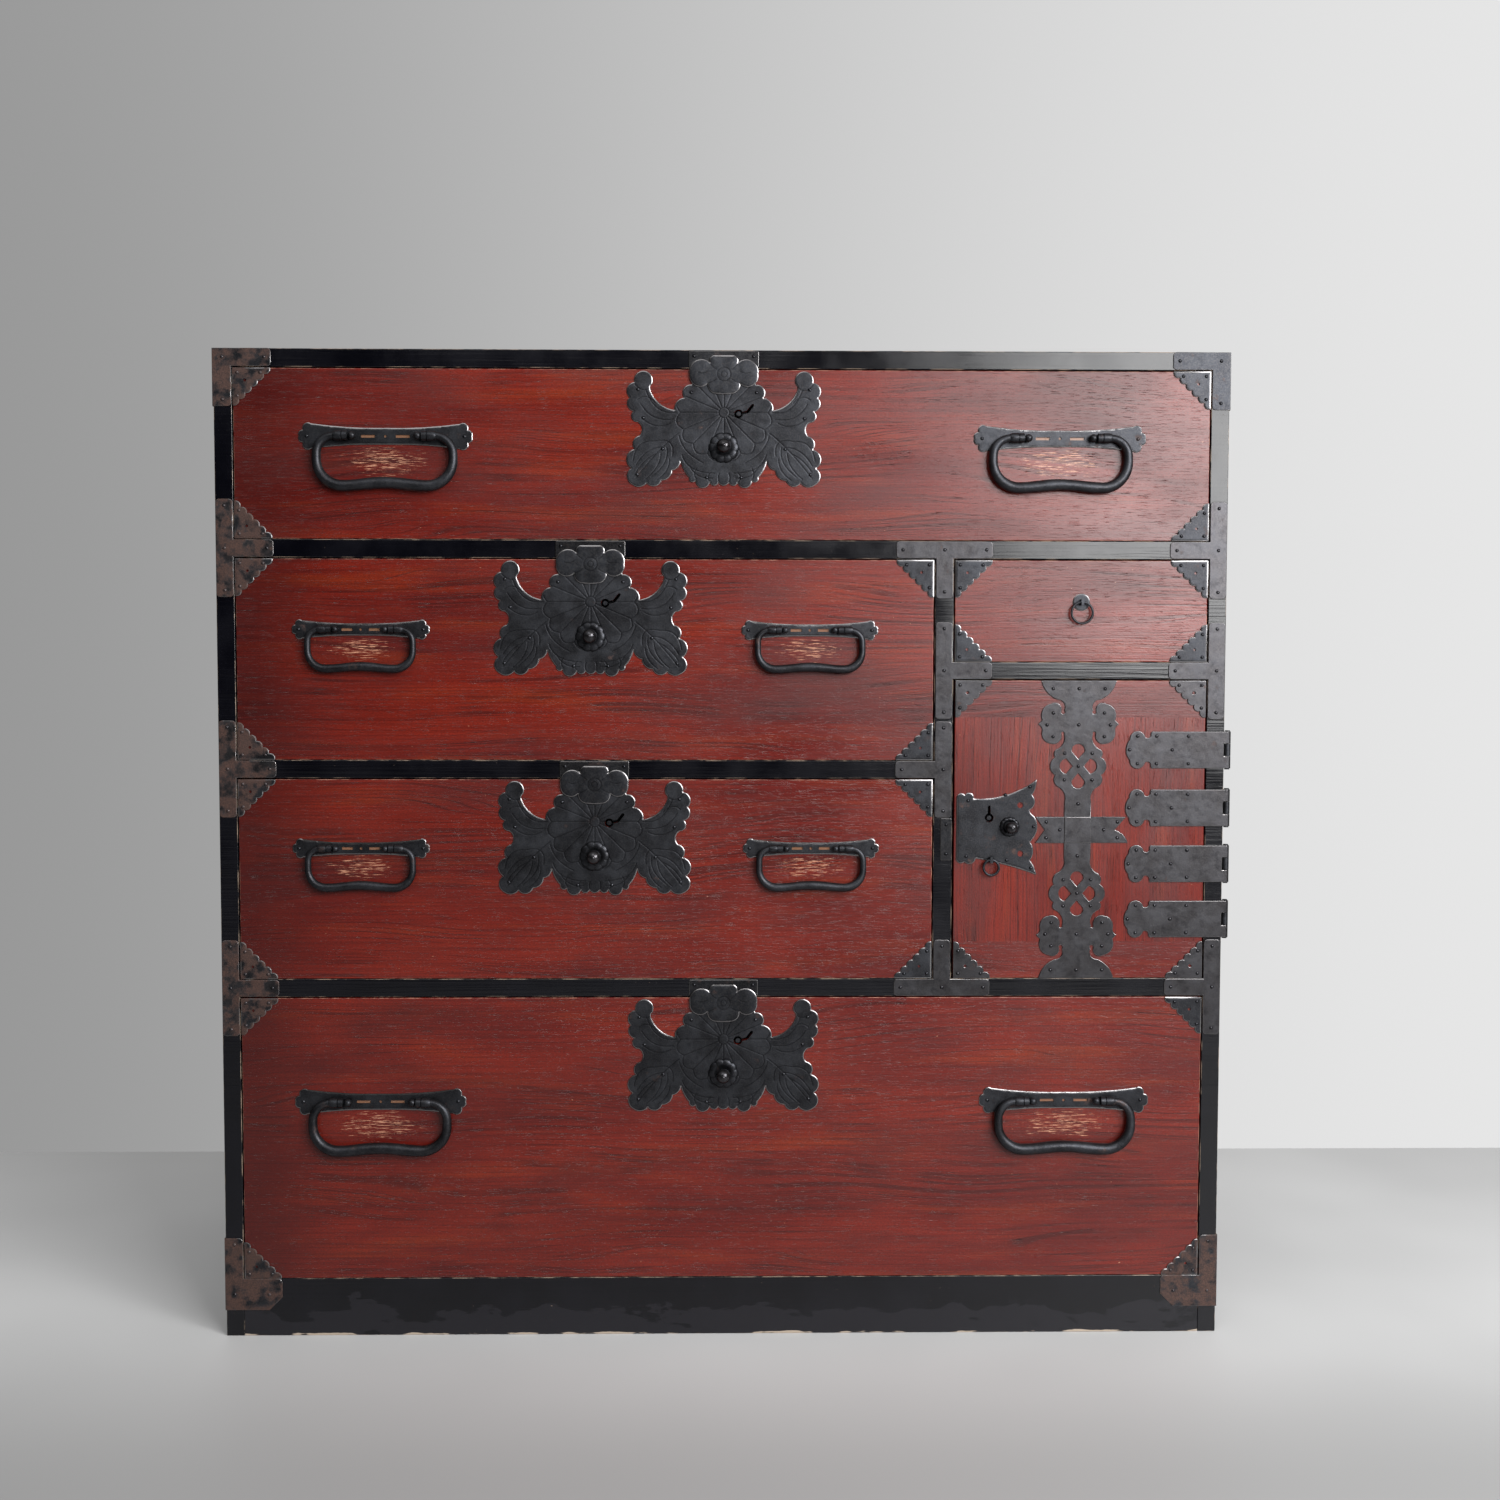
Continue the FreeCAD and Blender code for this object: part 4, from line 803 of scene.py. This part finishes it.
def blossom_engraving():
    """Rings round the button and the creases between the blossom's lobes, about its centre."""
    circle = np.linspace(0, 2 * pi, 33)
    ring = np.stack([np.cos(circle), np.sin(circle)], axis=1)
    lines = [outer_ring * ring, inner_ring * ring]
    for side in (-1, 1):
        for rows in (
            ((8, 5), (12, 8), (15, 12)),
            ((8, -5), (13, -8), (18, -10)),
            ((17, 3), (22, 1), (27, 2)),
        ):
            lines.append(arc_points(*rows) * (side, 1))
    return lines


# Iron fittings

def petal_washer(solid, washer):
    """A washer of swollen petals in place of a plain one. On a polar grid the height is edge + crown *
    sin(pi s)^0.7 * (0.93 + 0.07 |cos|^0.7), where s runs from the rim to the hole and cos turns once for
    each petal; the rim's radius swings with the same cosine."""
    hole, petals = washer["hole"], washer["petals"]
    low, high = solid[0].min(axis=0), solid[0].max(axis=0)
    centre = ((low[0] + high[0]) / 2, high[1], (low[2] + high[2]) / 2)
    outer = (high[0] - low[0]) / 2
    sides, rows = petals * 12, 14
    turn = np.linspace(0, 2 * pi, sides, endpoint=False)
    lobe = np.abs(np.cos(turn * petals / 2))
    share = np.linspace(0, 1, rows)[:, None]
    rim = outer * (0.93 + 0.07 * lobe ** 0.6)
    radius = rim + (hole - rim) * share
    dome = np.sin(pi * (share * 0.92 + 0.04)) ** 0.7 * (0.93 + 0.07 * lobe ** 0.7)
    height = washer["edge"] * np.minimum(1, share * 8) + washer["crown"] * dome
    x = centre[0] + radius * np.cos(turn)
    z = centre[2] + radius * np.sin(turn)
    top = np.stack([x, centre[1] - height, z], axis=-1).reshape(-1, 3)
    base = np.stack([x[[0, -1]], np.full((2, sides), centre[1]), z[[0, -1]]], axis=-1).reshape(-1, 3)
    points = np.concatenate([top, base])
    faces = grid_faces(rows, sides)
    last = rows * sides
    for side in range(sides):
        after = (side + 1) % sides
        faces.append([side, after, last + after, last + side])
        inner, under = last - sides, last + sides
        faces.append([inner + after, inner + side, under + side, under + after])
        faces.append([last + side, last + after, last + sides + after, last + sides + side])
    groove = 0.6 * (1 - lobe ** 0.5)[None, :] * np.ones((rows, 1))
    return outward(points, faces, {"groove": groove.ravel(), "nail": np.full(len(points), 0.3)})


def bail(name, side, limb, grip, post, top_bend, low_bend, arch, pin, pin_knob):
    """A forged bail: a round bar along straight lines and quarter circles, which thickens to its grip and
    arches up a little in its middle, by half a cosine wave. A barrel sits beside each eye, and a knob on
    each pin's end."""
    low, high = (np.array(corner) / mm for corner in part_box(name))
    pivot = np.array(joint_of[name + "_swing"]["pos_m"]) / mm
    pivot[0] = (low[0] + high[0]) / 2
    reach = (high[0] - low[0]) / 2 - side
    drop = pivot[2] - low[2] - grip
    collar = post + eye_half_width + bail_play
    turn = np.linspace(0, pi / 2, 14)
    start = np.linspace(collar, reach - top_bend, 6)
    upper = np.stack([reach - top_bend + top_bend * np.sin(turn), top_bend * (np.cos(turn) - 1)], axis=1)
    flat = reach - low_bend
    lower = np.stack([flat + low_bend * np.cos(turn), low_bend - drop - low_bend * np.sin(turn)], axis=1)
    across = np.linspace(flat, 0, 12)
    rise = arch * (1 + np.cos(pi * across / flat)) / 2
    half = np.concatenate([
        np.stack([start, 0 * start], axis=1)[:-1],
        upper,
        lower,
        np.stack([across, rise - drop], axis=1)[1:],
    ])
    whole = np.concatenate([half, (half * (-1, 1))[-2::-1]])
    length = np.concatenate([[0], np.cumsum(np.linalg.norm(np.diff(whole, axis=0), axis=1))])
    even = np.linspace(0, length[-1], bar_rings)
    path = np.zeros((len(even), 3))
    path[:, 0] = np.interp(even, length, whole[:, 0])
    path[:, 2] = np.interp(even, length, whole[:, 1])
    deep = np.clip(-path[:, 2] / drop, 0, 1)
    middle = np.clip(1 - np.abs(path[:, 0]) / reach, 0, 1)
    thin = side * 0.9
    radius = thin + (limb - thin) * np.sqrt(deep) + (grip - limb) * deep ** 2 * np.sqrt(middle)
    radius += forging * np.sin(even / forging_wave) * deep
    shells = [tube(path + pivot, radius, 24)]
    barrel = side + barrel_rise
    for turn_side in (-1, 1):
        seat = pivot + (turn_side * collar, 0, 0)
        rows = [
            (0.0, barrel * 0.82),
            (0.5, barrel * 0.97),
            (barrel_length * 0.3, barrel),
            (barrel_length * 0.6, barrel),
            (barrel_length * 0.85, barrel * 0.92),
            (barrel_length, side * 0.97),
        ]
        shells.append(turned(seat, (turn_side, 0, 0), rows, 24))
        pin_end = collar - 2 * eye_half_width - 2 * bail_play
        inner = pivot + (turn_side * pin_end, 0, 0)
        pin_rows = [(0.0, pin), (2 * eye_half_width + 3 * bail_play, pin)]
        shells.append(turned(inner, (turn_side, 0, 0), pin_rows, 16))
        turns = np.linspace(0.12, pi - 0.25, 10)
        knob_rows = pin_knob * np.stack([1 - np.cos(turns), np.sin(turns)], axis=1)
        shells.append(turned(inner, (-turn_side, 0, 0), knob_rows, 20))
    piece(name + "_forged", shells, name, iron)


def fittings(name, node, pitch, finish, washer=None):
    """The plates of a node reworked with filed rims, and a washer with petals. Posts and nails keep their
    form."""
    shells = []
    for solid in solids_of(node):
        size = spread(solid)
        level, back = solid[0][:, 1].min(), solid[0][:, 1].max()
        if size[1] < plate_thickest and max(size) > plate_shortest and level < 0:
            shells.append(worked_plate(front_loops(solid), back, level, pitch))
        elif level < 0 and washer and np.abs(size[[0, 2]] - washer["width"]).max() < 1:
            shells.append(petal_washer(solid, washer))
        else:
            shells.append(kept(solid))
    piece(name, shells, node, finish)


def kept(solid):
    """A solid as it is, marked as a nail when it is as small as one."""
    nail = np.full(len(solid[0]), float(spread(solid).max() < nail_size))
    return solid[0], solid[1].tolist(), {"nail": nail}


def lock(name):
    """A drawer's lock plate with its engraving, blossom, petal washer and nails."""
    node = name + "_lock"
    shells = []
    solids = sorted(solids_of(node), key=lambda solid: -spread(solid)[0])
    face, rest = solids[0], solids[1:]
    low, high = (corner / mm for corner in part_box(node))
    knob_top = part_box(name + "_knob")[1].z / mm
    rays = np.array(((low.x + high.x) / 2, knob_top - knob_ball + rays_above_knob))
    cuts = [line + rays for line in lock_engraving()]
    back, front = face[0][:, 1].max(), face[0][:, 1].min()
    shells.append(worked_plate(front_loops(face), back, front, plate_pitch, cuts))
    for solid in rest:
        size = spread(solid)
        low, high = solid[0].min(axis=0), solid[0].max(axis=0)
        if abs(size[0] - blossom_width) < blossom_margin and low[1] < 0:
            shells.append(blossom(solid, low, high))
        elif abs(size[0] - drawer_washer["width"]) < washer_margin and low[1] < 0:
            shells.append(petal_washer(solid, drawer_washer))
        else:
            shells.append(kept(solid))
    piece(name + "_lock_engraved", shells, node, lock_iron)


def blossom(solid, low, high):
    """The raised blossom: its lobes swell away from the rim, with a button in the middle."""
    outer = max(front_loops(solid, blossom_front), key=lambda loop: np.ptp(loop[:, 0]))
    centre = np.array(((low[0] + high[0]) / 2, high[2] - blossom_drop))
    cuts = [line + centre for line in blossom_engraving()]

    def swell(places, rim):
        """lobe swell * (1 - exp(-rim / reach)) + button swell * exp(-(away / radius)^4)."""
        lobes = lobe_swell * (1 - np.exp(-np.clip(rim - 0.4, 0, None) / lobe_reach))
        away = np.linalg.norm(places - centre, axis=1)
        return lobes + button_swell * np.exp(-(away / button_radius) ** 4)

    front = blossom_front + blossom_ease
    return worked_plate([outer], high[1], front, blossom_pitch, cuts, swell, faint_cut)


# The chest's finishes
iron = forged_iron("forged_bail_iron", rust=0.12)
lock_iron = forged_iron("engraved_lock_iron", rust=0.06)
door_lock_iron = forged_iron("blackened_lock_iron", rust=0.16, bright=-0.25)
strap_iron = forged_iron("hammered_strap_iron", rust=0.08, bright=0.10, grip=-0.05)
corner_iron = forged_iron("rusted_corner_iron", rust=0.12)
strike_iron = forged_iron("black_strike_iron", rust=0.16, bright=-0.6)
knob_iron = forged_iron("handled_knob_iron", bright=0.1, grip=-0.2)
black = black_lacquer("black_lacquered_boards")
foot_black = black_lacquer("black_lacquered_foot", worn_foot=True)
wood = plain_wood("planed_paulownia")
upright_wood = plain_wood("planed_paulownia_upright", upright=True)
door_red = red_lacquer("red_lacquer_upright", upright=True)
door_end_red = red_lacquer("red_lacquer_door_ends")
small_red = red_lacquer("red_lacquer_small_drawer")


def drawer_red(name):
    """Red lacquer with the worn places behind a drawer's bails and the bare ones behind their plates."""
    worn, bare = [], []
    for side in ("left", "right"):
        low, high = (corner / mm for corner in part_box(name + "_bail_" + side))
        middle, tall = (low.x + high.x) / 2, high.z - low.z
        half_width = worn_half_width * (high.x - low.x)
        worn.append((middle, low.z + worn_middle * tall, half_width, worn_half_height * tall))
        pivot = joint_of[name + "_bail_" + side + "_swing"]["pos_m"][2] / mm
        bare.append((middle, pivot, half_width, slot_half_height))
    return red_lacquer("red_lacquer_" + name, worn_at=worn, bare_at=bare)


def board(name, node, finish):
    """A node of boards with rounded edges."""
    return eased(name, node, board_edge, board_edges, finish)


def rimmed(name, node, finish):
    """A node of plain plates with rounded rims."""
    return eased(name, node, thin_edge, plate_rims, finish)


def refinished(node, finish):
    """Gives a node that keeps its own mesh a finish."""
    materials = frame["nodes"][node].data.materials
    materials.clear()
    materials.append(finish)


def door_panel():
    """The door's panel, whose grain is upright between two boards across its ends."""
    mesh = board("door_red_panel", "door_panel", door_red).data
    mesh.materials.append(door_end_red)
    low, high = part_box("door_panel")
    middle, half = (low.z + high.z) / 2 / mm, (high.z - low.z) / 2 / mm - door_end_width
    centres = values_of(mesh.polygons, "center", 3) / mm
    at_ends = np.abs(centres[:, 2] - middle) > half
    mesh.polygons.foreach_set("material_index", at_ends.astype(int))


for name in wide_drawers:
    board(name + "_red_front", name + "_front", drawer_red(name))
    lock(name)
    fittings(name + "_plates", name + "_fittings", corner_pitch, iron)
    for side in ("left", "right"):
        sizes = large_bail if name in ("top_drawer", "bottom_drawer") else small_bail
        bail(name + "_bail_" + side, **sizes)
board("small_drawer_red_front", "small_drawer_front", small_red)
fittings("small_drawer_plates", "small_drawer_fittings", corner_pitch, iron)
door_panel()
rimmed("door_strap_plates", "door_straps", strap_iron)
rimmed("door_hinge_plates", "door_hinge_straps", strap_iron)
fittings("door_lock_plates", "door_lock_plate", corner_pitch, door_lock_iron, door_washer)
rimmed("case_corner_irons", "case_corner_plates", corner_iron)
rimmed("case_tee_irons", "case_tee_plates", strap_iron)
rimmed("lock_strike_irons", "lock_strikes", strike_iron)

case_boards = ("case_top", "case_left_side", "case_right_side", "divider")
shelves = ("shelf_upper", "shelf_lower", "shelf_middle_left", "shelf_middle_right")
for node in case_boards + shelves:
    board(node + "_board", node, black)
board("base_rail_board", "base_rail", foot_black)
board("case_bottom_boards", "case_bottom", wood)
board("case_back_boards", "case_back", upright_wood)
for name in drawers:
    board(name + "_plain_box", name + "_box", wood)

for name in wide_drawers + ("door",):
    refinished(name + "_knob", knob_iron)
    refinished(name + "_bolt", knob_iron)
for node in ("door_hinge_leaves", "door_hinge_pins", "small_drawer_ring", "door_ring"):
    refinished(node, iron)


# Floor, light and camera

def floor():
    """A pale floor that ends a little behind the chest, where the background begins, with painted shade
    that darkens it a little in front of the chest."""
    side, front, end = 9, -7, 0.66
    mesh = bpy.data.meshes.new("floor")
    corners = [(-side, front, 0), (side, front, 0), (side, end, 0), (-side, end, 0)]
    mesh.from_pydata(corners, [], [(0, 1, 2, 3)])
    material, shader, add, place = surface("pale_floor")
    cloud = noise(add, place, (700, 700, 700))
    tone = add("mix", add("range", cloud, 0.3, 0.7), "#bababa", "#c6c6c6")
    split = add("split", place)
    # Painted shade: the floor darkens toward the camera, in front of the chest
    tone = add("mix", add("range", split["Y"], -0.36, 0.10), "#939393", tone)
    wire(shader, {"Base Color": tone, "Roughness": 0.5})
    mesh.materials.append(material)
    linked("floor", mesh)


def lamp(name, place, target, width, height, power):
    """A soft rectangular lamp that faces a target."""
    data = bpy.data.lights.new(name, "AREA")
    data.shape = "RECTANGLE"
    data.size = width
    data.size_y = height
    data.energy = power
    thing = linked(name, data)
    thing.location = place
    thing.rotation_euler = (Vector(target) - Vector(place)).to_track_quat("-Z", "Y").to_euler()


def surroundings():
    """A dim room under a pale ceiling, with a little light on the chest's back. The camera alone sees a
    wall with painted light: it grows paler to the right, as if lit from that side."""
    world = bpy.data.worlds.new("room")
    world.use_nodes = True
    bpy.context.scene.world = world
    add = adder(world.node_tree)
    split = add("split", add("direction"))
    seen = add("seen")
    # Painted light on the backdrop: the wall darkens to the left and pales to the right
    across = add("range", split["X"], -0.5, 0.5)
    wall = add("mix", across, "#969696", "#e7e7e7")
    ceiling = add("range", split["Z"], 0.25, 0.8, 0.02, 0.6)
    rear = add("range", split["Y"], 0.3, 0.9, 0.0, 0.35)
    strength = add("blend", seen, add("MAXIMUM", ceiling, rear), 1.0)
    shade = add("mix", seen, "#ffffff", wall)
    wire(world.node_tree.nodes["Background"], {"Color": shade, "Strength": strength})


def camera():
    """The photograph's view: from a little above the middle, almost square on."""
    data = bpy.data.cameras.new("camera")
    data.lens = 38.4
    data.sensor_width = 36.0
    thing = linked("camera", data)
    thing.location = (0.002, -1.685, 0.709)
    look = Vector((0.0153, 0.9987, -0.0486)).to_track_quat("-Z", "Y").to_matrix().to_4x4()
    roll = Matrix.Rotation(radians(0.09), 4, "Z")
    thing.rotation_euler = (look @ roll).to_euler()
    bpy.context.scene.camera = thing


floor()
surroundings()
camera()
lamp("window", (2.2, -1.8, 1.9), (0.1, 0.0, 0.6), 1.0, 1.3, 42)
lamp("bright_wall", (1.34, -1.95, 1.38), (0.25, 0.0, 0.8), 1.5, 1.4, 86)
lamp("ceiling", (-0.4, -2.2, 3.0), (0.0, 0.0, 0.5), 2.0, 2.0, 26)
bpy.context.scene.view_settings.view_transform = "Standard"
